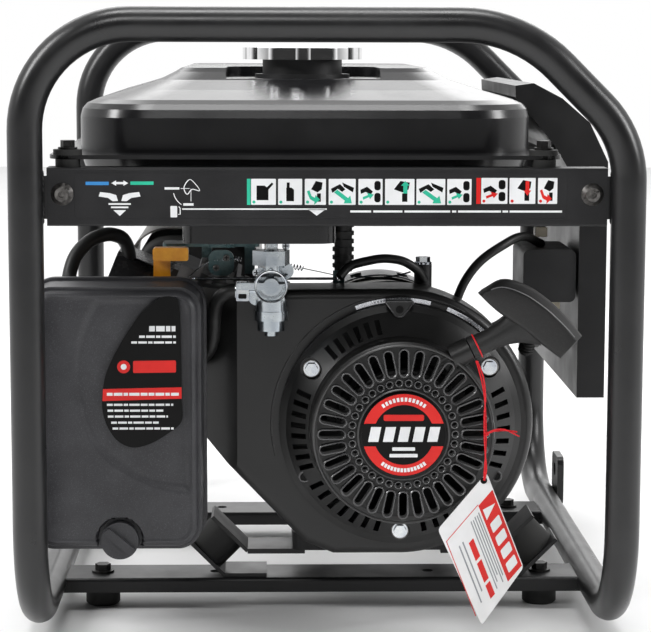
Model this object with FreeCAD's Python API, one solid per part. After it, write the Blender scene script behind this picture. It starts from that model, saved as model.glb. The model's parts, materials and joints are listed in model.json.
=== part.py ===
import FreeCAD, Part
import math
import os
from FreeCAD import Vector as V

# Portable generator, millimetres.  +X right, +Y from the recoil end to the alternator end, +Z up.
# Origin: on the ground, midway between the hoops and midway between the side rails.

# ---------------------------------------------------------------- driving dimensions
FRAME_WIDTH = 460.0          # outside of the side rails
FRAME_LENGTH = 595.4         # outside of the two hoops
FRAME_HEIGHT = 477.0         # ground to top of hoop
TUBE_D = 25.4
TUBE_WALL = 1.6
RAIL_LIFT = 10.0             # ground to underside of the rails
BEND_R = 76.0                # centre-line radius of the tube bends
BEND_R_TOP = 100.0           # upper bend of the chamfered corner
CORNER_CHAMFER = 88.0        # outside chamfer on the right top corner
SEAM_Y = 28.0                # where the two hoops slip together
SPIGOT_LENGTH = 40.0

CROSS_SPACING = 245.0        # between the two crossmembers
CROSS_WIDTH = 49.0
CROSS_TOP = 26.0
CROSS_HEIGHT = 11.4
CROSS_WALL = 2.5
TIE_X = 86.0                 # tie-down holes in the crossmembers
TIE_HOLE_R = 4.5
FOOT_D = 27.5
FOOT_X = 177.0

PANEL_TOP = 362.0
PANEL_HEIGHT = 42.0
PANEL_FLANGE = 22.0
PANEL_WALL = 2.0
PANEL_GAP = 2.6              # end of the panel to the hoop leg
PANEL_BOLT_INSET = 11.0

TANK_WALL = 1.5
TANK_SKIRT = 30.0            # flange beyond the body, at the front and back
TANK_BODY_RIGHT = 16.0       # flange beyond the body, at the right
TANK_BODY_LEFT = 17.0
TANK_SHOULDER = 404.0
TANK_PAD = 432.0
TANK_FLOOR = 322.0
SUMP_FLOOR = 303.0
CAP_D = 93.0
CAP_HEIGHT = 10.0
CAP_X = -16.5
CAP_Y = -135.0
NECK_D = 62.0
NECK_BORE = 50.0

CRANK_X = 57.5
CRANK_Z = 162.0
CRANK_R = 12.5
RUN_FIT = 0.05               # radial running clearance
AIR_GAP = 0.6                # rotor to stator
CYL_TILT = 22.0              # cylinder above the horizontal
BLOCK_FRONT = -150.0
BLOCK_DEPTH = 105.0
BLOCK_BASE = 49.0
SHROUD_R = 103.0
SHROUD_FRONT = -205.0
SHROUD_BACK = -154.0
SHROUD_WALL = 2.0
RECOIL_R = 92.5
GRILLE_R = 69.5
RECOIL_FRONT = -245.0
RECOIL_WALL = 2.5
REEL_ROPE_R = 39.0
FAN_GAP = 13.0                 # fan tips to the rim of the shroud

STATOR_R = 82.0
ROTOR_R = 50.0
BELL_DEPTH = 45.0

PULL_ANGLE = 26.0            # direction in which the rope leaves, above the horizontal
HANDLE_Y = -247.0
HANDLE_DEPTH = 22.0

COVER_LEFT = -222.0
COVER_RIGHT = -92.0
COVER_BASE = 73.0
COVER_TOP = 273.0
COVER_FRONT = -255.0
COVER_BACK = -203.3
COVER_WALL = 2.5
COVER_R = 18.0
KNOB_X = -154.0
KNOB_Z = 82.0
KNOB_R = 14.0

BOX_FRONT = -130.0
BOX_LENGTH = 280.0
BOX_BASE = 169.0
BOX_WALL = 2.5
BOX_INSET = 4.0              # control box inside the rail line
POCKET_DEPTH = 7.0
SOCKET_R = 21.0
SWITCH_TILT = 9.0

TAP_X = -41.0
TAP_Y = -225.0

PART_GAP = 0.3               # between moving pieces and their neighbours

# ---------------------------------------------------------------- places worked out from them
TUBE_R = TUBE_D / 2
RAIL_X = FRAME_WIDTH / 2 - TUBE_R
RAIL_Z = RAIL_LIFT + TUBE_R
HOOP_Y = FRAME_LENGTH / 2 - TUBE_R
TOP_Z = FRAME_HEIGHT - TUBE_R
INNER_X = FRAME_WIDTH / 2 - TUBE_D
CHAMFER = CORNER_CHAMFER + TUBE_R * (math.tan(math.radians(22.5)) - 1)
CROSS_Y = CROSS_SPACING / 2
PANEL_X = INNER_X - PANEL_GAP
TANK_Z = PANEL_TOP + 5.5
FLANGE_T = 3.0
TANK_LEFT = -PANEL_X
TANK_RIGHT = PANEL_X - 31.0
TANK_Y = HOOP_Y - 10.0
BODY_LEFT = TANK_LEFT + TANK_BODY_LEFT
BODY_RIGHT = TANK_RIGHT - TANK_BODY_RIGHT
BODY_Y = TANK_Y - TANK_SKIRT
RECESS_Z = TANK_PAD - 8.0
BLOCK_BACK = BLOCK_FRONT + BLOCK_DEPTH
BELL_FRONT = CROSS_Y - BELL_DEPTH / 2
STATOR_FRONT = BLOCK_BACK + 30.0
BOX_OUT = FRAME_WIDTH / 2 - BOX_INSET
FAN_R = SHROUD_R - FAN_GAP
FLYWHEEL_R = FAN_R - 6.0
BOX_BACK = BOX_FRONT + BOX_LENGTH
FACE_X = BOX_OUT - POCKET_DEPTH
PULL = V(math.cos(math.radians(PULL_ANGLE)), 0, math.sin(math.radians(PULL_ANGLE)))
CYL_DIR = V(-math.cos(math.radians(CYL_TILT)), 0, math.sin(math.radians(CYL_TILT)))
EYELET = V(107, HANDLE_Y, 225)

X, Y, Z = V(1, 0, 0), V(0, 1, 0), V(0, 0, 1)
NODES = {}


# ---------------------------------------------------------------- helpers
def node(name, *shapes):
    solids = [s for shape in shapes for s in shape.Solids]
    NODES[name] = solids[0] if len(solids) == 1 else Part.makeCompound(solids)


def box(x0, x1, y0, y1, z0, z1):
    return Part.makeBox(x1 - x0, y1 - y0, z1 - z0, V(x0, y0, z0))


def rod(r, start, direction, length):
    return Part.makeCylinder(r, length, start, direction)


def ring(r_out, r_in, start, direction, length):
    return rod(r_out, start, direction, length).cut(rod(r_in, start, direction, length))


def fuse(first, *others):
    return first.multiFuse(list(others)).removeSplitter() if others else first


def prism_y(points, y0, y1):
    """Flat outline in X and Z, extruded from y0 to y1."""
    wire = Part.makePolygon([V(x, y0, z) for x, z in points] + [V(points[0][0], y0, points[0][1])])
    return Part.Face(wire).extrude(V(0, y1 - y0, 0))


def round_rect(x0, x1, y0, y1, r, z):
    """Closed wire of a rectangle with round corners in the plane at height z."""
    k = math.sqrt(0.5)
    corners = [(x1 - r, y1 - r, 0), (x0 + r, y1 - r, 90), (x0 + r, y0 + r, 180), (x1 - r, y0 + r, 270)]
    edges, first, last = [], None, None
    for cx, cy, start in corners:
        a = [math.radians(start + step) for step in (0, 45, 90)]
        p = [V(cx + r * math.cos(t), cy + r * math.sin(t), z) for t in a]
        if last is not None:
            edges.append(Part.LineSegment(last, p[0]).toShape())
        first = first or p[0]
        edges.append(Part.Arc(*p).toShape())
        last = p[2]
    edges.append(Part.LineSegment(last, first).toShape())
    return Part.Wire(edges)


def slab_y(x0, x1, z0, z1, r, y0, y1):
    """Round-cornered plate in X and Z between y0 and y1."""
    flat = Part.Face(round_rect(x0, x1, z0, z1, r, 0))
    flat.rotate(V(0, 0, 0), X, 90)
    flat.translate(V(0, y0, 0))
    return flat.extrude(V(0, y1 - y0, 0))


def slab_x(y0, y1, z0, z1, r, x0, x1):
    """Round-cornered plate in Y and Z between x0 and x1."""
    flat = Part.Face(round_rect(y0, y1, z0, z1, r, 0))
    flat.rotate(V(0, 0, 0), X, 90)
    flat.rotate(V(0, 0, 0), Z, 90)
    flat.translate(V(x0, 0, 0))
    return flat.extrude(V(x1 - x0, 0, 0))


def slab_z(x0, x1, y0, y1, r, z0, z1):
    return Part.Face(round_rect(x0, x1, y0, y1, r, z0)).extrude(V(0, 0, z1 - z0))


def bent_wire(points, radii):
    """Straight runs joined by tangent arcs; one radius for each inner point."""
    edges, last = [], points[0]
    for before, corner, after, r in zip(points, points[1:], points[2:], radii):
        into, out = (corner - before).normalize(), (after - corner).normalize()
        half = into.getAngle(out) / 2
        a, b = corner - into * (r * math.tan(half)), corner + out * (r * math.tan(half))
        towards = (out - into).normalize()
        middle = corner + towards * (r / math.cos(half) - r)
        edges += [Part.LineSegment(last, a).toShape(), Part.Arc(a, middle, b).toShape()]
        last = b
    edges.append(Part.LineSegment(last, points[-1]).toShape())
    return Part.Wire(edges)


def tube(points, radii, r_out, r_in=None):
    path = bent_wire(points, radii)
    heading = points[1] - points[0]
    disc = Part.Face(Part.Wire(Part.makeCircle(r_out, points[0], heading)))
    if r_in:
        disc = disc.cut(Part.Face(Part.Wire(Part.makeCircle(r_in, points[0], heading))))
        disc = disc.Faces[0]
    return path.makePipe(disc).Solids[0]


def soft_radii(points):
    """Largest arcs that the runs of a hose allow."""
    radii = []
    for a, b, c in zip(points, points[1:], points[2:]):
        run = min((b - a).Length, (c - b).Length)
        radii.append(0.45 * run / math.tan((b - a).getAngle(c - b) / 2))
    return radii


def hex_bolt(at, axis, across=10.0, head=5.0, flange_r=8.0, shank_r=3.0, shank=8.0):
    """Hexagon head with its flange; `at` is the seat and the head points along axis."""
    flange = rod(flange_r, at, axis, 1.6)
    head_r = across / math.sqrt(3)
    hexagon = Part.makePolygon([V(head_r * math.cos(math.radians(60 * i)),
                                  head_r * math.sin(math.radians(60 * i)), 0) for i in range(7)])
    body = Part.Face(hexagon).extrude(V(0, 0, head + 1.6))
    body.Placement = FreeCAD.Placement(at, FreeCAD.Rotation(Z, axis))
    if not shank:
        return fuse(flange, body)
    return fuse(flange, body, rod(shank_r, at - axis * shank, axis, shank))


def crank(y):
    return V(CRANK_X, y, CRANK_Z)


def around_crank(r, degrees, y):
    a = math.radians(degrees)
    return V(CRANK_X + r * math.cos(a), y, CRANK_Z + r * math.sin(a))


def along_cylinder(s0, s1, half_across, y0, y1, r=0.0):
    """Block on the cylinder axis, from s0 to s1 out from the crankshaft."""
    across = V(CYL_DIR.z, 0, -CYL_DIR.x)
    base = crank(0)
    corners = [(s0, -half_across), (s1, -half_across), (s1, half_across), (s0, half_across)]
    points = [base + CYL_DIR * s + across * t for s, t in corners]
    solid = prism_y([(p.x, p.z) for p in points], y0, y1)
    if r:
        edges = [e for e in solid.Edges if abs(abs(e.tangentAt(e.FirstParameter).dot(CYL_DIR)) - 1) < 0.01]
        solid = solid.makeFillet(r, edges)
    return solid


def mirror_y(shape):
    return shape.mirror(V(0, 0, 0), Y)


def bar(p, q, t, y0, y1):
    """Sheet strip seen on edge: centre line from p to q in X and Z, thickness t."""
    px, pz = p
    qx, qz = q
    n = V(-(qz - pz), qx - px, 0).normalize() * (t / 2)
    return prism_y([(px + n.x, pz + n.y), (qx + n.x, qz + n.y), (qx - n.x, qz - n.y), (px - n.x, pz - n.y)],
                   y0, y1)


# ---------------------------------------------------------------- frame
def hoop(side):
    """side -1 is the recoil end, +1 the alternator end, whose rails slip into the other's."""
    y = side * HOOP_Y
    points = [V(-RAIL_X, SEAM_Y, RAIL_Z), V(-RAIL_X, y, RAIL_Z), V(-RAIL_X, y, TOP_Z),
              V(RAIL_X - CHAMFER, y, TOP_Z), V(RAIL_X, y, TOP_Z - CHAMFER), V(RAIL_X, y, RAIL_Z),
              V(RAIL_X, SEAM_Y, RAIL_Z)]
    radii = [BEND_R, BEND_R, BEND_R_TOP, BEND_R, BEND_R]
    solid = tube(points, radii, TUBE_R, TUBE_R - TUBE_WALL)
    tabs = []
    for x in (-1, 1):
        reach = INNER_X + TUBE_WALL - 0.2
        x0, x1 = sorted((x * (PANEL_X - 32), x * reach))
        face = HOOP_Y - PANEL_WALL
        y0, y1 = sorted((side * face, side * (face - 3)))
        hole = rod(4.2, V(x * (PANEL_X - PANEL_BOLT_INSET), y0 - 1, PANEL_TOP - PANEL_HEIGHT / 2 + 2), Y, 5)
        tab = box(x0, x1, y0, y1, PANEL_TOP - PANEL_HEIGHT + 5, PANEL_TOP - 6)
        tabs.append(tab.cut(hole))
    if side > 0:
        for x in (-RAIL_X, RAIL_X):
            tabs.append(ring(TUBE_R - TUBE_WALL - RUN_FIT, TUBE_R - 2 * TUBE_WALL,
                             V(x, SEAM_Y - SPIGOT_LENGTH, RAIL_Z), Y, SPIGOT_LENGTH))
            tabs.append(ring(TUBE_R - 0.5, TUBE_R - 2 * TUBE_WALL, V(x, SEAM_Y, RAIL_Z), Y, 8))
            tabs.append(wheel_strap(math.copysign(1, x)))
    return fuse(solid, *tabs)


STRAP_T = 6.0
STRAP_HOLE_R = 6.25
STRAP_Y, STRAP_Z = 188.0, 48.0


def wheel_strap(side):
    x0, x1 = sorted((side * (FRAME_WIDTH / 2 - 0.4), side * (FRAME_WIDTH / 2 - 0.4 + STRAP_T)))
    plate = slab_x(STRAP_Y - 20, STRAP_Y + 20, RAIL_Z - 6, STRAP_Z + 15, 8, x0, x1)
    return plate.cut(rod(STRAP_HOLE_R, V(x0 - 1, STRAP_Y, STRAP_Z), X, STRAP_T + 2))


node("front_hoop", hoop(-1))
node("rear_hoop", hoop(1))

MOUNT_X = (-84.0, 165.0)                     # inclined rubber mounts under the engine
REAR_MOUNT_X = (CRANK_X - 60, CRANK_X + 60)  # upright ones under the alternator


def crossmember(side):
    y0, y1 = side * CROSS_Y - CROSS_WIDTH / 2, side * CROSS_Y + CROSS_WIDTH / 2
    z0 = CROSS_TOP - CROSS_HEIGHT
    channel = slab_z(-RAIL_X, RAIL_X, y0, y1, 1, z0, CROSS_TOP)
    top_edges = [e for e in channel.Edges if e.Length > RAIL_X and e.CenterOfMass.z > CROSS_TOP - 0.1]
    channel = channel.makeFillet(3, top_edges)
    channel = channel.cut(box(-RAIL_X - 1, RAIL_X + 1, y0 + CROSS_WALL, y1 - CROSS_WALL, z0 - 1,
                              CROSS_TOP - CROSS_WALL))
    for x in (-RAIL_X, RAIL_X):
        channel = channel.cut(rod(TUBE_R, V(x, y0 - 1, RAIL_Z), Y, CROSS_WIDTH + 2))
    for x in (-FOOT_X, FOOT_X):
        channel = channel.cut(rod(4.2, V(x, side * CROSS_Y, z0), Z, CROSS_HEIGHT + 2))
    for x in (-TIE_X, TIE_X):
        channel = channel.cut(rod(TIE_HOLE_R, V(x, side * CROSS_Y, z0), Z, CROSS_HEIGHT + 2))
    return max(channel.Solids, key=lambda s: s.Volume)


node("front_crossmember", crossmember(-1))
node("rear_crossmember", crossmember(1))

foot_top = CROSS_TOP - CROSS_WALL
feet, seat_bolts = [], []
for side in (-1, 1):
    for x in (-FOOT_X, FOOT_X):
        foot = rod(FOOT_D / 2, V(x, side * CROSS_Y, 0), Z, foot_top)
        foot = foot.makeChamfer(2, [e for e in foot.Edges if e.CenterOfMass.z < 0.1])
        feet.append(foot.cut(rod(3.0, V(x, side * CROSS_Y, foot_top - 12), Z, 13)))
        seat_bolts.append(hex_bolt(V(x, side * CROSS_Y, CROSS_TOP), Z, 11, 5, 9, 3.0, 12))
node("rubber_feet", *feet)

# rubber mounts and their brackets
MOUNT_R, MOUNT_LENGTH = 17.0, 24.0
MOUNT_CENTRE_Z = 52.0
PLATE_T = 3.0
MIRROR_X = sum(MOUNT_X) / 2
mounts, brackets = [], []


def inclined_mount(side):
    """side -1 is left; the block leans toward the engine at 45 degrees."""
    d = V(-side, 0, 1).normalize()
    c = V(MIRROR_X + side * (MOUNT_X[1] - MIRROR_X), -CROSS_Y, MOUNT_CENTRE_Z)
    rubber = rod(MOUNT_R, c - d * (MOUNT_LENGTH / 2), d, MOUNT_LENGTH)
    across = V(side, 0, 1).normalize()
    low = c - d * (MOUNT_LENGTH / 2 + PLATE_T / 2)
    high = c + d * (MOUNT_LENGTH / 2 + PLATE_T / 2)
    y0, y1 = -CROSS_Y - 20, -CROSS_Y + 20
    base_z = CROSS_TOP + PLATE_T / 2
    run = (low.z - base_z) / across.z
    heel = low - across * run
    top = low + across * 19
    lower = fuse(bar((heel.x, heel.z), (top.x, top.z), PLATE_T, y0, y1),
                 bar((heel.x + side * 1, base_z), (heel.x - side * 34, base_z), PLATE_T, y0, y1))
    arm_z = BLOCK_BASE - 2
    run = (high.z - arm_z) / across.z
    knee = high - across * run
    top = high + across * 19
    upper = fuse(bar((knee.x, knee.z), (top.x, top.z), PLATE_T, y0, y1),
                 box(*sorted((knee.x, knee.x - side * 46)), y0, y1, arm_z - 2, arm_z + 2))
    return rubber, [lower, upper]


for side in (-1, 1):
    rubber, plates = inclined_mount(side)
    mounts.append(rubber)
    brackets += plates
for x in REAR_MOUNT_X:
    mounts.append(rod(MOUNT_R, V(x, CROSS_Y, CROSS_TOP + PLATE_T), Z, 18))
    brackets.append(slab_z(x - 24, x + 24, CROSS_Y - 20, CROSS_Y + 20, 6, CROSS_TOP, CROSS_TOP + PLATE_T))
REAR_FOOT_Z = CROSS_TOP + PLATE_T + 18
node("vibration_mounts", *mounts)
node("mount_brackets", *brackets)


# ---------------------------------------------------------------- cross panels
def cross_panel(side):
    z0 = PANEL_TOP - PANEL_HEIGHT
    y_face = HOOP_Y
    web = box(-PANEL_X, PANEL_X, y_face - PANEL_WALL, y_face, z0, PANEL_TOP)
    top = box(-PANEL_X, PANEL_X, y_face - PANEL_FLANGE, y_face, PANEL_TOP - PANEL_WALL, PANEL_TOP)
    low = box(-PANEL_X + 40, PANEL_X - 40, y_face - 14, y_face, z0, z0 + PANEL_WALL)
    sheet = fuse(web, top, low)
    long_edges = [e for e in sheet.Edges if e.Length > PANEL_X and abs(e.CenterOfMass.y - y_face) < 0.01]
    sheet = sheet.makeFillet(PANEL_WALL - 0.4, long_edges)
    for x in (-1, 1):
        at = V(x * (PANEL_X - PANEL_BOLT_INSET), y_face - 9, PANEL_TOP - PANEL_HEIGHT / 2 + 2)
        sheet = sheet.cut(rod(4.2, at, Y, 12))
    for x in isolator_x():
        sheet = sheet.cut(rod(5.0, V(x, isolator_y(), PANEL_TOP - 6), Z, 8))
    return sheet if side > 0 else mirror_y(sheet)


def isolator_x():
    return TANK_LEFT + 14, TANK_RIGHT - 14


def isolator_y():
    return HOOP_Y - PANEL_FLANGE / 2 - 4


node("front_panel", cross_panel(-1))
node("rear_panel", cross_panel(1))

button_bolts = []
for side in (-1, 1):
    for x in (-1, 1):
        at = V(x * (PANEL_X - PANEL_BOLT_INSET), side * HOOP_Y, PANEL_TOP - PANEL_HEIGHT / 2 + 2)
        out = V(0, side, 0)
        head = Part.makeCone(8.2, 5.0, 4.2, at, out)
        socket = rod(2.6, at + out * 1.6, out, 4)
        button_bolts.append(fuse(head, rod(4.0, at - out * 10, out, 10)).cut(socket))
node("panel_bolts", *button_bolts)


# ---------------------------------------------------------------- fuel tank
def tank_block(inset, z_levels):
    """Stack of round rectangles; each level is (height, inset from the body wall, corner radius)."""
    wires = []
    for z, shrink, r in z_levels:
        k = inset + shrink
        wires.append(round_rect(BODY_LEFT + k, BODY_RIGHT - k, -BODY_Y + k, BODY_Y - k,
                                max(r - inset, 4), z))
    return Part.makeLoft(wires, True, True)


def sump(inset):
    return slab_z(-107 + inset, 7 - inset, TAP_Y - 15 + inset, -25 - inset, 14,
                  SUMP_FLOOR + inset, TANK_FLOOR + 8)


def tank_shell_upper():
    z = TANK_Z + FLANGE_T / 2
    levels = [(z, 0, 56), (TANK_SHOULDER - 8, 0, 56), (TANK_SHOULDER - 2, 1.5, 55),
              (TANK_SHOULDER + 2, 5, 53), (TANK_SHOULDER + 5, 12, 48), (TANK_SHOULDER + 12, 36, 38),
              (TANK_PAD - 9, 58, 30), (TANK_PAD - 3, 70, 24), (TANK_PAD, 75, 20)]
    outer = tank_block(0, levels)
    inner = tank_block(TANK_WALL, [(h - (0 if i == 0 else TANK_WALL), s, r)
                                   for i, (h, s, r) in enumerate(levels)])
    notch = slab_z(CAP_X - 59, CAP_X + 59, -BODY_Y - 10, CAP_Y + 59, 20, RECESS_Z, TANK_PAD + 5)
    under = slab_z(CAP_X - 59 - TANK_WALL, CAP_X + 59 + TANK_WALL, -BODY_Y - 12, CAP_Y + 59 + TANK_WALL, 20,
                   RECESS_Z - TANK_WALL, TANK_PAD + 6)
    shell = outer.cut(notch).cut(inner.cut(under))
    flange = slab_z(TANK_LEFT, TANK_RIGHT, -TANK_Y, TANK_Y, 16, z, z + FLANGE_T / 2)
    flange = flange.cut(slab_z(BODY_LEFT + 1, BODY_RIGHT - 1, -BODY_Y + 1, BODY_Y - 1, 54, z - 1, z + 4))
    shell = fuse(shell, flange)
    shell = shell.cut(rod(NECK_BORE / 2, V(CAP_X, CAP_Y, RECESS_Z - 6), Z, 10))
    return drill_flange(shell)


def tank_shell_lower():
    z = TANK_Z + FLANGE_T / 2
    levels = [(z, 0, 56), (TANK_FLOOR + 12, 10, 50), (TANK_FLOOR, 30, 34)]
    outer = fuse(tank_block(0, levels), sump(0))
    inner_levels = [(z, 0, 56), (TANK_FLOOR + 12, 10, 50), (TANK_FLOOR + TANK_WALL, 30, 34)]
    inner = fuse(tank_block(TANK_WALL, inner_levels), sump(TANK_WALL))
    flange = slab_z(TANK_LEFT, TANK_RIGHT, -TANK_Y, TANK_Y, 16, z - FLANGE_T / 2, z)
    flange = flange.cut(slab_z(BODY_LEFT + 1, BODY_RIGHT - 1, -BODY_Y + 1, BODY_Y - 1, 54, z - 4, z + 1))
    shell = fuse(outer.cut(inner), flange)
    shell = shell.cut(rod(3.5, V(TAP_X, TAP_Y, SUMP_FLOOR - 4), Z, 10))
    return drill_flange(shell)


def drill_flange(shell):
    for side in (-1, 1):
        for x in isolator_x():
            shell = shell.cut(rod(5.0, V(x, side * isolator_y(), TANK_Z - 2), Z, 8))
    return shell


node("tank_upper", tank_shell_upper())
node("tank_lower", tank_shell_lower())
isolators, tank_bolts = [], []
for side in (-1, 1):
    for x in isolator_x():
        at = V(x, side * isolator_y(), PANEL_TOP)
        below = ring(9.0, 3.1, at, Z, TANK_Z - PANEL_TOP)
        above = ring(10.5, 3.1, V(at.x, at.y, TANK_Z + FLANGE_T), Z, 4)
        neck = ring(4.9, 3.1, V(at.x, at.y, TANK_Z), Z, FLANGE_T)
        isolators.append(fuse(below, above, neck))
        tank_bolts.append(hex_bolt(V(at.x, at.y, TANK_Z + FLANGE_T + 4), Z, 9, 5, 7, 3.0, 18))
node("tank_isolators", *isolators)

neck_top = TANK_PAD + 6
neck = fuse(ring(NECK_D / 2 + 6, NECK_BORE / 2, V(CAP_X, CAP_Y, RECESS_Z), Z, 3),
            ring(NECK_D / 2, NECK_BORE / 2, V(CAP_X, CAP_Y, RECESS_Z), Z, neck_top - RECESS_Z))
node("filler_neck", neck)

cap_base = neck_top + PART_GAP
lobes = 12
lobe_r = 7.0
cap = rod(CAP_D / 2 - 2.5, V(CAP_X, CAP_Y, cap_base), Z, CAP_HEIGHT - 1)
for i in range(lobes):
    a = 2 * math.pi * i / lobes
    at = V(CAP_X + (CAP_D / 2 - lobe_r) * math.cos(a), CAP_Y + (CAP_D / 2 - lobe_r) * math.sin(a), cap_base)
    cap = cap.fuse(rod(lobe_r, at, Z, CAP_HEIGHT - 1))
cap_top = V(CAP_X, CAP_Y, cap_base + CAP_HEIGHT - 1)
cap = fuse(cap, Part.makeCone(CAP_D / 2 - 10, CAP_D / 2 - 14, 1.4, cap_top, Z))
cap = cap.cut(rod(12, V(CAP_X, CAP_Y, cap_base - 1), Z, 3.5 + 1))
node("fuel_cap", cap)
core_r = NECK_BORE / 2 - 1.0
core = fuse(rod(core_r, V(CAP_X, CAP_Y, neck_top - 6), Z, 6 + PART_GAP / 2 - 0.05),
            rod(11.95, V(CAP_X, CAP_Y, neck_top), Z, 3.2))
node("cap_core", core)

# fuel tap under the front of the tank
tap = fuse(
    rod(7, V(TAP_X, TAP_Y, 281), Z, 6),
    Part.Face(Part.makePolygon([V(TAP_X + 14.4 * math.cos(math.radians(60 * i + 15)),
                                  TAP_Y + 14.4 * math.sin(math.radians(60 * i + 15)), 286)
                                for i in range(7)])).extrude(V(0, 0, 11)),
    rod(12.5, V(TAP_X, TAP_Y + 2, 271), Y, 10),
    box(TAP_X - 10, TAP_X + 10, TAP_Y - 3, TAP_Y + 12, 258, 284),
    rod(6, V(TAP_X + 11, TAP_Y + 2, 281), Y, 6), rod(6, V(TAP_X - 11, TAP_Y + 2, 261), Y, 6),
    rod(4.2, V(TAP_X - 8, TAP_Y + 6, 266), -X, 13),
    rod(12, V(TAP_X, TAP_Y + 4, 251), Z, 8))
tap = tap.cut(rod(9.0, V(TAP_X, TAP_Y - 4, 271), Y, 5))
tap = fuse(tap, rod(5.0, V(TAP_X, TAP_Y, 296), Z, SUMP_FLOOR - 296))
node("fuel_tap", tap)
bowl = fuse(rod(13, V(TAP_X, TAP_Y + 4, 244), Z, 7), rod(10.5, V(TAP_X, TAP_Y + 4, 236), Z, 8),
            rod(5, V(TAP_X, TAP_Y + 4, 232), Z, 4))
node("sediment_bowl", bowl)

lever = fuse(rod(8.7, V(TAP_X, TAP_Y - 3.6, 271), Y, 4.2), rod(6.0, V(TAP_X, TAP_Y - 14, 271), Y, 11),
             slab_y(TAP_X - 26, TAP_X + 5, 268.4, 273.6, 2.4, TAP_Y - 14, TAP_Y - 10.5))
node("tap_lever", lever)


# ---------------------------------------------------------------- engine
def fins(s0, s1, half, y0, y1, pitch=9.0, thick=3.2):
    out = []
    s = s0
    while s + thick <= s1:
        out.append(along_cylinder(s, s + thick, half, y0, y1))
        s += pitch
    return out


def engine_block():
    base, y0, y1 = BLOCK_BASE, BLOCK_FRONT, BLOCK_BACK
    case = prism_y([(-22, base + 12), (-22, 130), (-2, 226), (60, 238), (112, 222), (136, 180),
                    (138, base + 26), (128, base + 12)], y0, y1)
    case = case.makeFillet(8, [e for e in case.Edges if abs(e.tangentAt(e.FirstParameter).y) > 0.99])
    foot = slab_z(-24, 118, y0 + 2, y1 - 2, 8, base, base + 14)
    barrel = along_cylinder(60, 148, 46, y0 + 9, y1 - 9)
    body = fuse(case, foot, barrel, *fins(84, 148, 54, y0 + 2, y1 - 2))
    cavity = rod(44, crank(y0 + 16), Y, BLOCK_DEPTH - 32)
    bore = rod(CRANK_R + RUN_FIT, crank(y0 - 1), Y, BLOCK_DEPTH + 2)
    boss = fuse(body.cut(cavity).cut(bore), rod(7, V(79, y0 + 10, 228), Z, 50),
                oil_neck(), rod(3.0, V(GOV_X, y0 - 3.6, GOV_PIVOT_Z), Y, 10))
    return boss.cut(oil_bore())


GOV_X, GOV_PIVOT_Z, GOV_ROD_Z = 12.0, 214.0, 268.0     # governor spindle, and the rod above it
OIL_AT = V(134, -100, 104)
OIL_DIR = V(0.94, 0, 0.342).normalize()
OIL_NECK_R, OIL_NECK_LENGTH, OIL_BORE_R = 13.0, 12.0, 9.0


def oil_neck():
    return rod(OIL_NECK_R, OIL_AT - OIL_DIR * 6, OIL_DIR, OIL_NECK_LENGTH + 6)


def oil_bore():
    return rod(OIL_BORE_R, OIL_AT - OIL_DIR * 4, OIL_DIR, OIL_NECK_LENGTH + 5)


node("engine_block", engine_block())
oil_seat = OIL_AT + OIL_DIR * (OIL_NECK_LENGTH + PART_GAP)
oil_cap = fuse(rod(13.5, oil_seat, OIL_DIR, 7), rod(OIL_BORE_R - 0.08, oil_seat - OIL_DIR * 12, OIL_DIR, 12),
               rod(5, oil_seat, OIL_DIR, 10))
for i in range(3):
    grip = box(-13.5, 13.5, -1.6, 1.6, 0, 11)
    grip.rotate(V(0, 0, 0), Z, 60 * i)
    grip.Placement = FreeCAD.Placement(oil_seat, FreeCAD.Rotation(Z, OIL_DIR)).multiply(grip.Placement)
    oil_cap = oil_cap.fuse(grip)
node("oil_cap", fuse(oil_cap))

HEAD_END, COVER_END = 200.0, 250.0
PORT_X, PORT_Z = -96.0, 232.0
head = fuse(along_cylinder(148.2, HEAD_END, 44, BLOCK_FRONT + 6, BLOCK_BACK - 6),
            *fins(153, HEAD_END - 6, 52, BLOCK_FRONT + 1, BLOCK_BACK - 1, 10, 3.4),
            rod(16, V(PORT_X, BLOCK_BACK - 12, PORT_Z), Y, 12))
node("cylinder_head", head)
rocker = along_cylinder(HEAD_END + 0.2, COVER_END, 34, BLOCK_FRONT + 10, BLOCK_BACK - 10, 10)
rocker_lip = along_cylinder(HEAD_END + 0.2, HEAD_END + 5, 39, BLOCK_FRONT + 6, BLOCK_BACK - 6)
node("rocker_cover", fuse(rocker, rocker_lip))

# carburettor between the head and the air cleaner
CARB_X, CARB_Z = -130.0, 238.0
AIR_BACK = COVER_BACK + PART_GAP + 6.6
carb = fuse(box(CARB_X - 16, CARB_X + 16, -186, -162, CARB_Z - 18, CARB_Z + 18),
            rod(18, V(CARB_X, AIR_BACK, CARB_Z), Y, -184 - AIR_BACK),
            rod(16, V(CARB_X, -164, CARB_Z), Y, 15),
            rod(17, V(CARB_X, -174, CARB_Z - 38), Z, 22), rod(5, V(CARB_X, -174, CARB_Z - 43), Z, 8),
            box(CARB_X - 25, CARB_X + 25, -161, -157, CARB_Z - 14, CARB_Z + 14))
carb = carb.cut(rod(10, V(CARB_X, -197, CARB_Z), Y, 30))
node("carburettor", carb)
CHOKE_PIVOT = V(-124.5, -190, CARB_Z + 26)
lever = fuse(slab_y(-131, -118, CHOKE_PIVOT.z - 7, 296, 3, -189.4, -186.4).cut(
                 rod(3.0 + RUN_FIT, V(CHOKE_PIVOT.x, -190, CHOKE_PIVOT.z), Y, 6)),
             slab_y(-131, -104, 286, 296, 2, -198, -186.4))
node("choke_lever", lever)

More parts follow.
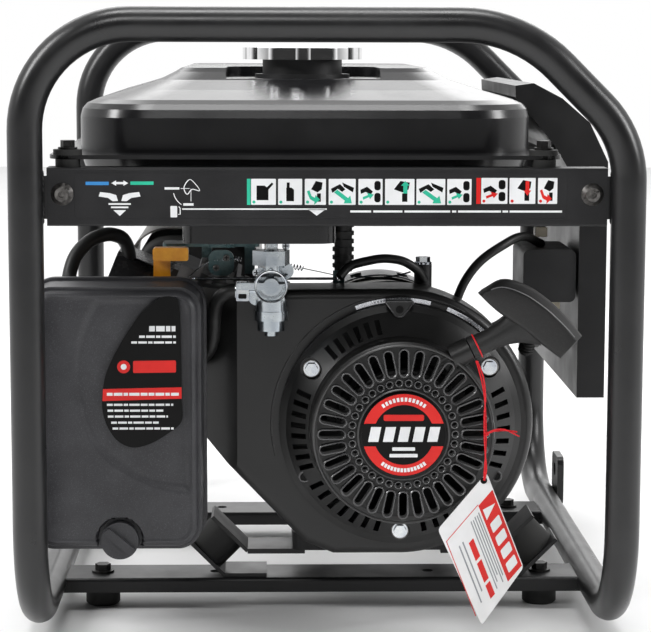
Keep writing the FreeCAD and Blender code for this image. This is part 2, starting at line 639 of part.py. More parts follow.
# control bracket with its rod and spring
bracket = fuse(slab_z(-126, -50, -146, -118, 4, 292, 294.5),
               slab_y(-90, -70, 270, 290, 7, -152, -149.6),
               slab_z(-90, -70, -152, -140, 1, 292, 294.5),
               box(-96, -88, -124, -120, 281.4, 293), box(-62, -54, -124, -120, 268.4, 293))
node("throttle_bracket", bracket)
GOV_Y = (SHROUD_BACK + BLOCK_FRONT) / 2
arm = bar((GOV_X, GOV_PIVOT_Z - 7), (GOV_X, GOV_ROD_Z + 6), 9, GOV_Y - 1, GOV_Y + 1)
arm = arm.cut(rod(3.0 + RUN_FIT, V(GOV_X, GOV_Y - 2, GOV_PIVOT_Z), Y, 8))
arm = arm.cut(rod(1.9, V(GOV_X, GOV_Y - 2, GOV_ROD_Z), Y, 8))
node("governor_arm", arm)
rod_points = [V(GOV_X, GOV_Y + 2.4, GOV_ROD_Z), V(GOV_X, GOV_Y - 4, GOV_ROD_Z), V(-106, GOV_Y - 4, GOV_ROD_Z)]
rod_path = tube(rod_points, [3], 1.1)
node("governor_rod", rod_path)


# ---------------------------------------------------------------- fan shroud and recoil starter
def shroud_outline(grow, y0, y1):
    """Round scroll about the crankshaft with its duct over the cylinder."""
    r = SHROUD_R + grow
    a0, a1 = math.radians(92), math.radians(-92)
    mid = 0.0
    start = (CRANK_X + r * math.cos(a0), CRANK_Z + r * math.sin(a0))
    stop = (CRANK_X + r * math.cos(a1), CRANK_Z + r * math.sin(a1))
    arc = Part.Arc(V(start[0], y0, start[1]),
                   V(CRANK_X + r * math.cos(mid), y0, CRANK_Z + r * math.sin(mid)),
                   V(stop[0], y0, stop[1])).toShape()
    corners = [V(stop[0], y0, stop[1]), V(CRANK_X - 0.49 * r, y0, CRANK_Z - r),
               V(CRANK_X - 0.71 * r, y0, CRANK_Z - 0.91 * r), V(-96 - grow, y0, 152 - grow),
               V(-99 - grow, y0, CRANK_Z + r - 1), V(start[0], y0, start[1])]
    lines = [Part.LineSegment(a, b).toShape() for a, b in zip(corners, corners[1:])]
    return Part.Face(Part.Wire([arc] + lines)).extrude(V(0, y1 - y0, 0))


def fan_shroud():
    outer = shroud_outline(0, SHROUD_FRONT, SHROUD_BACK)
    soft = [e for e in outer.Edges if abs(e.CenterOfMass.y - SHROUD_FRONT) < 0.01]
    outer = outer.makeFillet(7, soft)
    inner = shroud_outline(-SHROUD_WALL, SHROUD_FRONT + SHROUD_WALL, SHROUD_BACK + 1)
    inner = inner.makeFillet(5, [e for e in inner.Edges
                                if abs(e.CenterOfMass.y - SHROUD_FRONT - SHROUD_WALL) < 0.01])
    shell = outer.cut(swept_back(0)).cut(inner.cut(swept_back(SHROUD_WALL)))
    shell = shell.cut(rod(RECOIL_R - 9, crank(SHROUD_FRONT - 1), Y, 6))
    return shell


def swept_back(wall):
    """Wedge in front of the duct, whose face slopes back beside the air cleaner."""
    shift = wall * 1.37
    corners = [(-67, SHROUD_FRONT - 20), (-110, SHROUD_FRONT - 20), (-110, SHROUD_FRONT + 40.3),
               (-67, SHROUD_FRONT)]
    points = [V(x, y + shift, 100) for x, y in corners]
    return Part.Face(Part.makePolygon(points + [points[0]])).extrude(V(0, 0, 200))


node("fan_shroud", fan_shroud())

RIM_Y = SHROUD_FRONT - 3.0
SLOTS = 32
HOLES = 34
BOLT_ANGLES = (147, 34, 270)
BOLT_R = 81.0


def recoil_case():
    """Shell of revolution: flat rim, sloping ring, drum and grille."""
    w = RECOIL_WALL
    outer = [(0, RECOIL_FRONT), (GRILLE_R - 5, RECOIL_FRONT), (GRILLE_R - 1.5, RECOIL_FRONT + 1.5),
             (GRILLE_R, RECOIL_FRONT + 5), (GRILLE_R + 1, RECOIL_FRONT + 15), (RECOIL_R - 5, RIM_Y - 7),
             (RECOIL_R, RIM_Y - 4), (RECOIL_R, SHROUD_FRONT)]
    inner = [(RECOIL_R - 8, SHROUD_FRONT), (RECOIL_R - 8, RIM_Y - 4), (GRILLE_R - 2, RECOIL_FRONT + 15 + w),
             (GRILLE_R - w, RECOIL_FRONT + 5), (GRILLE_R - 5, RECOIL_FRONT + w), (0, RECOIL_FRONT + w)]
    points = [V(CRANK_X + r, y, CRANK_Z) for r, y in outer + inner]
    shell = Part.Face(Part.makePolygon(points + [points[0]])).revolve(crank(0), Y, 360)
    if shell.ShapeType != "Solid":
        shell = Part.makeSolid(shell.Shells[0])
    cuts = []
    for i in range(SLOTS):
        slot = slab_y(43.6, 63.6, -3.2, 3.2, 3.1, RECOIL_FRONT - 3, RECOIL_FRONT + 6)
        slot.rotate(V(0, 0, 0), Y, 360.0 * i / SLOTS)
        slot.translate(crank(0))
        cuts.append(slot)
    for i in range(HOLES):
        cuts.append(rod(2.3, around_crank(38.7, 360.0 * i / HOLES, RECOIL_FRONT - 3), Y, 8))
    louvres = [*range(103, 136, 6), *range(161, 206, 6), *range(215, 260, 7), *range(283, 322, 7),
               *range(-22, 23, 7)]
    for a in louvres:
        slot = box(GRILLE_R + 3, RECOIL_R - 9, -30, 30, -2.0, 2.0)
        slot.rotate(V(0, 0, 0), Y, -a)
        slot.translate(crank(RIM_Y - 8))
        cuts.append(slot)
    hub = rod(33.5, crank(RECOIL_FRONT - 1.6), Y, 3)
    post = rod(8.0, crank(RECOIL_FRONT), Y, 18)
    bosses = [rod(8.5, around_crank(BOLT_R, a, RIM_Y - 9), Y, RIM_Y - 9 - SHROUD_FRONT + 24)
              .common(rod(RECOIL_R, crank(-300), Y, 300 + SHROUD_FRONT)) for a in BOLT_ANGLES]
    eye = ring(9.5, 3.4, EYELET - PULL * 15, PULL, 15)
    web = box(-8, 8, HANDLE_Y + 4, RIM_Y - 4, 0, 9)
    web.rotate(V(0, 0, 0), Y, -PULL_ANGLE)
    web.translate(V(EYELET.x, 0, EYELET.z) - PULL * 9 - V(0, 0, 12))
    shell = shell.multiFuse([hub, post, eye, web] + bosses)
    shell = shell.cut(Part.makeCompound(cuts))
    shell = shell.cut(rod(3.4, EYELET - PULL * 40, PULL, 60))
    holes = [rod(3.05, around_crank(BOLT_R, a, RIM_Y - 12), Y, 16) for a in BOLT_ANGLES]
    holes += [rod(7.6, around_crank(BOLT_R, a, RIM_Y - 39), Y, 30) for a in BOLT_ANGLES]
    return max(shell.cut(Part.makeCompound(holes)).Solids, key=lambda s: s.Volume)


node("recoil_case", recoil_case())
bright = [hex_bolt(around_crank(BOLT_R, a, RIM_Y - 9), -Y, 8.5, 3.5, 6.0, 3.0, 10) for a in BOLT_ANGLES]

reel_y0, reel_y1 = RECOIL_FRONT + RECOIL_WALL + 1.5, RECOIL_FRONT + RECOIL_WALL + 14.5
REEL_R = 46.0
reel = fuse(ring(REEL_R, 8.05, crank(reel_y0), Y, 2), ring(REEL_R, 8.05, crank(reel_y1 - 2), Y, 2),
            ring(33, 8.05, crank(reel_y0), Y, reel_y1 - reel_y0))
rope_coil = ring(REEL_ROPE_R + 2.0, 33.05, crank(reel_y0 + 2.05), Y, reel_y1 - reel_y0 - 4.1)
node("recoil_reel", reel, rope_coil)

# starter handle: bowed crossbar and neck
HANDLE_END_A, HANDLE_END_B = (113.5, 267.0), (131.0, 277.0)
HANDLE_END_C, HANDLE_END_D = (190.0, 235.0), (174.0, 218.5)
HANDLE_OUT, HANDLE_IN = (165.0, 262.0), (146.0, 240.0)


def starter_handle():
    y0 = HANDLE_Y - HANDLE_DEPTH / 2
    a, b, c, d = [V(p[0], y0, p[1]) for p in (HANDLE_END_A, HANDLE_END_B, HANDLE_END_C, HANDLE_END_D)]
    out, back = V(HANDLE_OUT[0], y0, HANDLE_OUT[1]), V(HANDLE_IN[0], y0, HANDLE_IN[1])
    wire = Part.Wire([Part.LineSegment(a, b).toShape(), Part.Arc(b, out, c).toShape(),
                      Part.LineSegment(c, d).toShape(), Part.Arc(d, back, a).toShape()])
    bar_solid = Part.Face(wire).extrude(V(0, HANDLE_DEPTH, 0))
    bar_solid = bar_solid.makeFillet(3.5, bar_solid.Edges)
    start = EYELET + PULL * PART_GAP
    stem = Part.makeCone(7.8, 9.5, 46, start, PULL)
    stem = fuse(stem, rod(8.8, start, PULL, 6))
    return fuse(bar_solid, stem).cut(rod(3.2, start, PULL, 14))


node("starter_handle", starter_handle())

# hang tag on its string
TAG_HOLE = V(117.4, -258.0, 127.7)
TAG_CORNERS = [(119.6, 133.7), (148.2, 61.3), (117.2, 16.8), (83.4, 90.5)]
TAG_T = 0.8
tag = prism_y(TAG_CORNERS, TAG_HOLE.y - TAG_T / 2, TAG_HOLE.y + TAG_T / 2)
tag = tag.makeFillet(2.5, [e for e in tag.Edges if abs(e.tangentAt(e.FirstParameter).y) > 0.99])
tag = tag.cut(rod(1.6, TAG_HOLE - Y, Y, 2))
node("hang_tag", tag)

STRING_R = 0.6
STRING = [V(111.0, -254.4, 217.5), V(114.6, -256.8, 206), V(117.4, -257.6, 192), V(118.3, -257.9, 177),
          V(118.9, -258.0, 162), V(118.5, -258.6, 148), V(117.9, -259.2, 137), V(117.4, -259.3, 128)]
node("tag_string", tube(STRING, soft_radii(STRING), STRING_R))


# ---------------------------------------------------------------- turning parts
shaft = fuse(rod(CRANK_R, crank(-202), Y, BELL_FRONT + BELL_DEPTH - 14 + 202),
             rod(38, crank(BLOCK_FRONT + 22), Y, 16), rod(38, crank(BLOCK_BACK - 38), Y, 16))
node("crankshaft", shaft)
flywheel = fuse(ring(FLYWHEEL_R, CRANK_R, crank(-176), Y, 14), ring(30, CRANK_R, crank(-200), Y, 24),
                ring(42, CRANK_R, crank(-204), Y, 2),
                ring(42, 39.5, crank(-222), Y, 20))
node("flywheel", flywheel)


def cooling_fan():
    disc = ring(FAN_R - 2, 44, crank(-180), Y, 3)
    blades = []
    for i in range(18):
        blade = box(56, FAN_R - 3, -200, -179, -1.2, 1.2)
        blade.rotate(V(56, 0, 0), Y, 24)
        blade.rotate(V(0, 0, 0), Y, 20.0 * i)
        blade.translate(crank(0))
        blades.append(blade)
    return fuse(disc, ring(48, 44, crank(-200), Y, 20), *blades)


node("cooling_fan", cooling_fan())
rotor_y0, rotor_y1 = STATOR_FRONT + 8, BELL_FRONT - 6
node("rotor", ring(ROTOR_R, CRANK_R, crank(rotor_y0), Y, rotor_y1 - rotor_y0))

# ---------------------------------------------------------------- alternator
adapter = Part.makeCone(92, STATOR_R, STATOR_FRONT - BLOCK_BACK, crank(BLOCK_BACK), Y)
adapter_depth = STATOR_FRONT - BLOCK_BACK - 5
adapter = adapter.cut(Part.makeCone(86, STATOR_R - 6, adapter_depth, crank(BLOCK_BACK + 5), Y))
adapter = adapter.cut(rod(CRANK_R + 4, crank(BLOCK_BACK - 1), Y, 40))
adapter = adapter.cut(rod(STATOR_R - 8, crank(BLOCK_BACK + 12), Y, 40))
for i in range(10):
    window = box(20, 110, BLOCK_BACK + 9, STATOR_FRONT - 5, -9, 9)
    window.rotate(V(0, 0, 0), Y, 36 * i)
    window.translate(crank(0))
    adapter = adapter.cut(window)
node("alternator_adapter", max(adapter.Solids, key=lambda s: s.Volume))
stator = ring(STATOR_R - 3, ROTOR_R + AIR_GAP, crank(STATOR_FRONT), Y, BELL_FRONT - STATOR_FRONT)
stator = fuse(stator, *[ring(STATOR_R - 1, ROTOR_R + 20, crank(y), Y, 10)
                        for y in (STATOR_FRONT, BELL_FRONT - 10)])
node("stator", stator)


def rear_bell():
    bell = ring(STATOR_R, STATOR_R - 6, crank(BELL_FRONT), Y, BELL_DEPTH)
    web = ring(STATOR_R, CRANK_R + RUN_FIT, crank(BELL_FRONT + BELL_DEPTH - 26), Y, 6)
    bell = fuse(bell, web, ring(24, CRANK_R + RUN_FIT, crank(BELL_FRONT + BELL_DEPTH - 30), Y, 14))
    for i in range(12):
        slot = box(34, 110, BELL_FRONT + 6, BELL_FRONT + BELL_DEPTH - 12, -5, 5)
        slot.rotate(V(0, 0, 0), Y, 30 * i + 15)
        slot.translate(crank(0))
        bell = bell.cut(slot)
    feet_blocks = []
    for x in REAR_MOUNT_X:
        feet_blocks.append(box(x - 18, x + 18, CROSS_Y - 16, CROSS_Y + 16, REAR_FOOT_Z, REAR_FOOT_Z + 8))
        inner_x = x + math.copysign(14, CRANK_X - x)
        leg = box(min(x, inner_x) - 4, max(x, inner_x) + 4, CROSS_Y - 16, CROSS_Y + 16,
                  REAR_FOOT_Z + 7, CRANK_Z - 66)
        feet_blocks.append(leg.cut(rod(STATOR_R - 1, crank(BELL_FRONT - 1), Y, BELL_DEPTH + 2)))
    return fuse(bell, *feet_blocks)


node("alternator_bell", rear_bell())
cover_y = BELL_FRONT + BELL_DEPTH
end_cover = rod(STATOR_R - 1, crank(cover_y), Y, 12)
end_cover = end_cover.makeFillet(5, [e for e in end_cover.Edges if e.CenterOfMass.y > cover_y + 11])
end_cover = end_cover.cut(rod(STATOR_R - 5, crank(cover_y - 1), Y, 9))
for k in range(-4, 5):
    reach = math.sqrt(60 ** 2 - (k * 12) ** 2)
    end_cover = end_cover.cut(box(CRANK_X - reach, CRANK_X + reach, cover_y + 5, cover_y + 20,
                                  CRANK_Z + k * 12 - 2.5, CRANK_Z + k * 12 + 2.5))
node("alternator_cover", max(end_cover.Solids, key=lambda s: s.Volume))

# ---------------------------------------------------------------- muffler
MUFF = dict(x0=-158.0, x1=-56.0, y0=12.0, y1=205.0, z0=208.0, z1=286.0)
muffler = slab_y(MUFF["x0"], MUFF["x1"], MUFF["z0"], MUFF["z1"], 30, MUFF["y0"], MUFF["y1"])
muffler = muffler.makeFillet(6, [e for e in muffler.Edges if abs(e.tangentAt(e.FirstParameter).y) < 0.01])
outlet = tube([V(-130, 170, 215), V(-130, 170, 196), V(-130, 232, 196)], [14], 11, 9)
inlet_points = [V(PORT_X, BLOCK_BACK, PORT_Z), V(PORT_X, -10, PORT_Z), V(PORT_X, 14, PORT_Z + 12)]
inlet = tube(inlet_points, [30], 13, 11)
node("muffler", fuse(muffler, outlet, inlet))
shield = slab_y(MUFF["x0"] - 7, MUFF["x1"] + 7, MUFF["z0"] - 7, MUFF["z1"] + 7, 36,
                MUFF["y0"] + 9, MUFF["y1"] - 9)
shield = shield.cut(slab_y(MUFF["x0"] - 5.6, MUFF["x1"] + 5.6, MUFF["z0"] - 5.6, MUFF["z1"] + 5.6, 35,
                           MUFF["y0"], MUFF["y1"]))
shield = shield.cut(box(MUFF["x0"] - 20, MUFF["x1"] + 20, MUFF["y0"], MUFF["y1"], MUFF["z0"] - 20,
                        MUFF["z0"] + 42))
node("muffler_shield", max(shield.Solids, key=lambda s: s.Volume))


# ---------------------------------------------------------------- air cleaner
def air_cover():
    outer = slab_y(COVER_LEFT, COVER_RIGHT, COVER_BASE, COVER_TOP, COVER_R, COVER_FRONT, COVER_BACK)
    outer = outer.makeFillet(6, [e for e in outer.Edges if abs(e.CenterOfMass.y - COVER_FRONT) < 0.01])
    w = COVER_WALL
    inner = slab_y(COVER_LEFT + w, COVER_RIGHT - w, COVER_BASE + w, COVER_TOP - w, COVER_R - w,
                   COVER_FRONT + w, COVER_BACK + 1)
    shell = outer.cut(inner)
    lip = slab_y(COVER_LEFT - 2, COVER_RIGHT + 2, COVER_BASE - 2, COVER_TOP + 2, COVER_R + 2, COVER_BACK - 8,
                 COVER_BACK)
    lip = lip.cut(slab_y(COVER_LEFT + w, COVER_RIGHT - w, COVER_BASE + w, COVER_TOP - w, COVER_R - w,
                         COVER_BACK - 9, COVER_BACK + 1))
    cup = rod(KNOB_R + 6, V(KNOB_X, COVER_FRONT, KNOB_Z), Y, 8).common(outer)
    pocket = rod(KNOB_R + 3, V(KNOB_X, COVER_FRONT - 1, KNOB_Z), Y, 7)
    hole = rod(3.2, V(KNOB_X, COVER_FRONT - 1, KNOB_Z), Y, 20)
    return fuse(shell, lip, cup).cut(pocket).cut(hole)


node("air_cover", air_cover())
knob = fuse(rod(KNOB_R, V(KNOB_X, COVER_FRONT - 1.5, KNOB_Z), Y, 7),
            rod(3.1, V(KNOB_X, COVER_FRONT + 5, KNOB_Z), Y, COVER_BACK - COVER_FRONT - 12))
grip = slab_y(-KNOB_R + 1, KNOB_R - 1, -3, 3, 2, COVER_FRONT - 5.5, COVER_FRONT - 1)
grip.rotate(V(0, 0, 0), Y, 40)
grip.translate(V(KNOB_X, 0, KNOB_Z))
node("cover_knob", fuse(knob, grip))
base_front = COVER_BACK + PART_GAP
base = slab_y(COVER_LEFT, COVER_RIGHT, COVER_BASE, COVER_TOP, COVER_R, base_front, base_front + 5)
post = ring(5.6, 3.15, V(KNOB_X, COVER_BACK - 18, KNOB_Z), Y, 18.5)
base = fuse(base, post, slab_y(-160, -100, 150, 268, 12, base_front + 4, base_front + 6.6),
            rod(3.0, V(CHOKE_PIVOT.x, base_front + 4, CHOKE_PIVOT.z), Y, 12))
base = base.cut(rod(10, V(CARB_X, base_front - 1, CARB_Z), Y, 12))
base = base.cut(rod(3.15, V(KNOB_X, COVER_BACK - 19, KNOB_Z), Y, 40))
node("air_base", base)

# hoses
FUEL_HOSE = [V(TAP_X - 18, TAP_Y + 6, 266), V(-73, TAP_Y + 6.5, 266), V(-82, -212, 258), V(-84, -204, 246),
             V(-84.5, -200, 233), V(-86.5, -197.5, 221), V(-92, -190.5, 212), V(-100, -184.5, 207.5),
             V(-108, -179, 207), V(-113.6, -175.6, 207.6)]
fuel_hose = tube(FUEL_HOSE, soft_radii(FUEL_HOSE), 5.2, 4.25)
BREATHER = [V(-196, base_front + 5, 262), V(-196, -186, 263), V(-197, -176, 272), V(-193, -170, 287),
            V(-182, -162, 299), V(-168, -150, 303), V(-158, -139, 299), V(-154, -133, 291),
            V(-153, -131, 281.5)]
node("rubber_hoses", fuel_hose, tube(BREATHER, soft_radii(BREATHER), 5.5, 3.5))
LEAD = [V(79, -150, 267), V(74, -158, 275), V(62, -162, 283), V(46, -163, 285), V(31, -163, 282),
        V(20, -162, 279), V(12, -168, 270.5)]
lead = tube(LEAD, soft_radii(LEAD), 3.5)
sleeve = [ring(8.5 if i % 2 else 7.0, 4.0, V(16, -138, 272 + 3.2 * i), Z, 3.2) for i in range(12)]
node("ignition_lead", fuse(sleeve[0], *sleeve[1:]), lead)


# ---------------------------------------------------------------- control panel on the right side
def box_profile(inset):
    o = BOX_OUT - inset
    top = [(BOX_OUT - 74 + 2 * inset, 409 + 0.3 * inset), (BOX_OUT - 74.5 + 2 * inset, 418 - inset),
           (BOX_OUT - 60, 420 - inset), (BOX_OUT - 37, 408 - 1.3 * inset),
           (BOX_OUT - 15 - inset, 389 - 0.8 * inset), (o, 358)]
    return top + [(o, BOX_BASE + inset), (BOX_OUT - 22 + inset, BOX_BASE + inset),
                  (BOX_OUT - 22 + inset, 336 + inset * 0.3), (BOX_OUT - 42 + inset, 370 + inset)]


def control_box():
    outer = prism_y(box_profile(0), BOX_FRONT, BOX_BACK)
    inner = prism_y(box_profile(BOX_WALL), BOX_FRONT + BOX_WALL, BOX_BACK - BOX_WALL)
    shell = outer.cut(inner)
    y0, y1, z0, z1 = BOX_FRONT + 16, BOX_BACK - 16, BOX_BASE + 14, 344
    seat = slab_x(y0 - 3, y1 + 3, z0 - 3, z1 + 3, 9, FACE_X - 3, BOX_OUT - 1)
    shell = fuse(shell, seat.common(outer))
    shell = shell.cut(slab_x(y0, y1, z0, z1, 8, FACE_X, BOX_OUT + 1))
    shell = shell.cut(slab_x(y0 + 8, y1 - 8, z0 + 8, z1 - 8, 6, FACE_X - 4, FACE_X + 1))
    lugs = [box(TANK_RIGHT - 16, BOX_OUT - 37, y - 12, y + 12, TANK_Z - 4.5, TANK_Z - 0.5)
            for y in (BOX_FRONT + 30, BOX_BACK - 30)]
    links = [box(BOX_OUT - 40, BOX_OUT - 34, y - 12, y + 12, TANK_Z - 6, TANK_Z + 2)
             for y in (BOX_FRONT + 30, BOX_BACK - 30)]
    return fuse(shell, *(lugs + links))


node("control_box", control_box())
SOCKET_Z = 232.0
SOCKET_Y = (-62.0, 0.0)
SWITCH_Y, SWITCH_Z = 66.0, 300.0
METER_Y, METER_Z = -31.0, 312.0
BREAKER_Y, BREAKER_Z = 66.0, 238.0
FACE_T = 2.5
PANEL_FACE = FACE_X + FACE_T
LID_PIN_X = PANEL_FACE + 4.6
LID_PIN_Z = SOCKET_Z + 27
LID_PIN_R = 1.4


def window(y, z, half_y, half_z, r):
    """Cutter for a round-cornered hole through the face plate."""
    return slab_x(y - half_y, y + half_y, z - half_z, z + half_z, r, FACE_X - 1, PANEL_FACE + 3)


def control_face():
    plate = slab_x(BOX_FRONT + 16.2, BOX_BACK - 16.2, BOX_BASE + 14.2, 343.8, 7.8, FACE_X, PANEL_FACE)
    for y in SOCKET_Y:
        plate = plate.cut(rod(SOCKET_R, V(FACE_X - 1, y, SOCKET_Z), X, 6))
    plate = plate.cut(window(SWITCH_Y, SWITCH_Z, 11, 16, 2))
    plate = plate.cut(window(METER_Y, METER_Z, 23, 15, 3))
    return plate.cut(rod(8.2, V(FACE_X - 1, BREAKER_Y, BREAKER_Z), X, 6))


def socket(y):
    """Round mains socket with its square flange and the ears of the lid hinge."""
    body = rod(SOCKET_R - 0.2, V(FACE_X - 12, y, SOCKET_Z), X, 12 + FACE_T + 0.4)
    flange = slab_x(y - 25, y + 25, SOCKET_Z - 25, SOCKET_Z + 25, 4, PANEL_FACE, PANEL_FACE + 1.6)
    body = fuse(body, flange).cut(rod(18.5, V(FACE_X - 9, y, SOCKET_Z), X, 30))
    pins = [rod(2.4, V(FACE_X - 13, y + dy, SOCKET_Z), X, 10) for dy in (-9.5, 9.5)]
    body = body.cut(Part.makeCompound(pins))
    for dy in (-17, 11):
        root = box(PANEL_FACE, PANEL_FACE + 3, y + dy, y + dy + 6, SOCKET_Z + 22, LID_PIN_Z + 2.5)
        root = root.cut(rod(2.9, V(LID_PIN_X, y + dy - 1, LID_PIN_Z), Y, 8))
        body = fuse(body, root, ring(3.0, 1.5, V(LID_PIN_X, y + dy, LID_PIN_Z), Y, 6))
    return body.cut(rod(1.5, V(LID_PIN_X, y - 20, LID_PIN_Z), Y, 40))


def socket_lid(y):
    x0 = PANEL_FACE + 1.6 + PART_GAP
    lid = slab_x(y - 22, y + 22, SOCKET_Z - 22, SOCKET_Z + 21, 8, x0, x0 + 2.6)
    web = box(x0, x0 + 2.6, y - 10.7, y + 10.7, SOCKET_Z + 20, LID_PIN_Z)
    knuckle = rod(2.6, V(LID_PIN_X, y - 10.7, LID_PIN_Z), Y, 21.4)
    return fuse(lid, web, knuckle, rod(LID_PIN_R, V(LID_PIN_X, y - 16.8, LID_PIN_Z), Y, 33.6))


def voltmeter():
    body = slab_x(METER_Y - 22.8, METER_Y + 22.8, METER_Z - 14.8, METER_Z + 14.8, 3, FACE_X - 10, PANEL_FACE)
    bezel = slab_x(METER_Y - 26, METER_Y + 26, METER_Z - 18, METER_Z + 18, 3, PANEL_FACE, PANEL_FACE + 2.4)
    return fuse(body, bezel)


def switch_frame():
    y, z = SWITCH_Y, SWITCH_Z
    bezel = slab_x(y - 13, y + 13, z - 18, z + 18, 2, PANEL_FACE, PANEL_FACE + 1.5)
    body = slab_x(y - 10.8, y + 10.8, z - 15.8, z + 15.8, 2, FACE_X - 12, PANEL_FACE + 1)
    return fuse(bezel, body).cut(box(FACE_X - 9, PANEL_FACE + 3, y - 8, y + 8, z - 13, z + 13))


def switch_key():
    """Rocker with a dished front, tilted to its off position."""
    y, z = SWITCH_Y, SWITCH_Z
    pivot = V(PANEL_FACE - 3, y, z)
    key = rod(12, V(pivot.x, y - 7.6, z), Y, 15.2)
    key = key.common(box(PANEL_FACE - 8, PANEL_FACE + 6, y - 8, y + 8, z - 11.5, z + 11.5))
    key = key.cut(rod(26, V(PANEL_FACE + 29.5, y - 9, z), Y, 18))
    key.rotate(pivot, Y, -SWITCH_TILT)
    return key


breaker_case = fuse(ring(8.0, 5.3, V(FACE_X - 10, BREAKER_Y, BREAKER_Z), X, 10 + FACE_T),
                    ring(10.5, 5.3, V(PANEL_FACE, BREAKER_Y, BREAKER_Z), X, 2))
node("control_face", control_face())
node("panel_fittings", *[socket(y) for y in SOCKET_Y], switch_frame(), breaker_case)
node("socket_lid_front", socket_lid(SOCKET_Y[0]))
node("socket_lid_rear", socket_lid(SOCKET_Y[1]))
node("voltmeter", voltmeter())
node("engine_switch", switch_key())
node("breaker_button", rod(5.22, V(FACE_X - 6, BREAKER_Y, BREAKER_Z), X, 6 + FACE_T + 5.4))
node("regulator_block", slab_y(BOX_OUT - 66, BOX_OUT - 24, 246, 288, 5, -128, -52).fuse(
    box(BOX_OUT - 25, BOX_OUT - 22, -115, -65, 255, 280)))

# ---------------------------------------------------------------- fasteners
clip_at = V(TAP_X - 19, TAP_Y + 6.1, 266)
clip = ring(6.9, 5.25, clip_at, -X, 8)
bright += [hex_bolt(V(79, BLOCK_FRONT + 10, 278), Z, 10, 4, 6.8, 3, 0)]
node("zinc_fasteners", *bright, clip)
node("black_fasteners", *seat_bolts, *tank_bolts)

os.makedirs("parts", exist_ok=True)
for name, shape in NODES.items():
    shape.exportStep(f"parts/{name}.step")
print(len(NODES), "nodes")
for name, shape in NODES.items():
    if not shape.isValid() or any(s.Volume < 1 for s in shape.Solids):
        print("check", name, shape.isValid(), [round(s.Volume, 1) for s in shape.Solids])
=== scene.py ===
import json
from math import asin, cos, degrees, hypot, pi, radians, sin

import bmesh
import bpy
from mathutils import Matrix, Vector


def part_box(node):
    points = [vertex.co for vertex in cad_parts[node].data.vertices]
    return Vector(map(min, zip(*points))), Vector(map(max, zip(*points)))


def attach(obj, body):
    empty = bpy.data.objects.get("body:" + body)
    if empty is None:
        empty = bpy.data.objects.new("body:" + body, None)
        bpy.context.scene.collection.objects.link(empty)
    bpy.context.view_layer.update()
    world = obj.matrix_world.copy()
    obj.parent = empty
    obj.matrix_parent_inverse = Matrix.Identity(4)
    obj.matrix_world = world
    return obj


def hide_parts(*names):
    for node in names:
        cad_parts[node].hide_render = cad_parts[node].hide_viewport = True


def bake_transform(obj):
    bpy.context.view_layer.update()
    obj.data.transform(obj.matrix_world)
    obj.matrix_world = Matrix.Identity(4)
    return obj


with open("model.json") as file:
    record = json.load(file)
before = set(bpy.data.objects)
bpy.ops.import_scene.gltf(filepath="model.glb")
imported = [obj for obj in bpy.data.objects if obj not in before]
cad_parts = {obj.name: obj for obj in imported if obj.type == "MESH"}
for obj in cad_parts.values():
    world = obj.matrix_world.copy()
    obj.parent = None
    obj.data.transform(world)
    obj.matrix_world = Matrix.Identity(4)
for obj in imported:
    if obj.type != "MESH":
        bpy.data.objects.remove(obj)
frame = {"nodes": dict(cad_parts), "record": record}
bpy.context.view_layer.update()

MM = 0.001
PRINT = 0.12          # thickness of printed marks, in mm

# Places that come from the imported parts.
CASE_LOW, CASE_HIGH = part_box("recoil_case")
RECOIL_EDGE = (CASE_HIGH.x - CASE_LOW.x) / 2 / MM
REEL_LOW, REEL_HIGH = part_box("recoil_reel")
CRANK = (REEL_LOW + REEL_HIGH) / 2
GRILLE_Y = CASE_LOW.y + 1.6 * MM
COVER_LOW, COVER_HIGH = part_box("air_cover")
PANEL_LOW, PANEL_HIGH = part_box("front_panel")
METER_LOW, METER_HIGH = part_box("voltmeter")
FACE_LOW, FACE_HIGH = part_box("control_face")


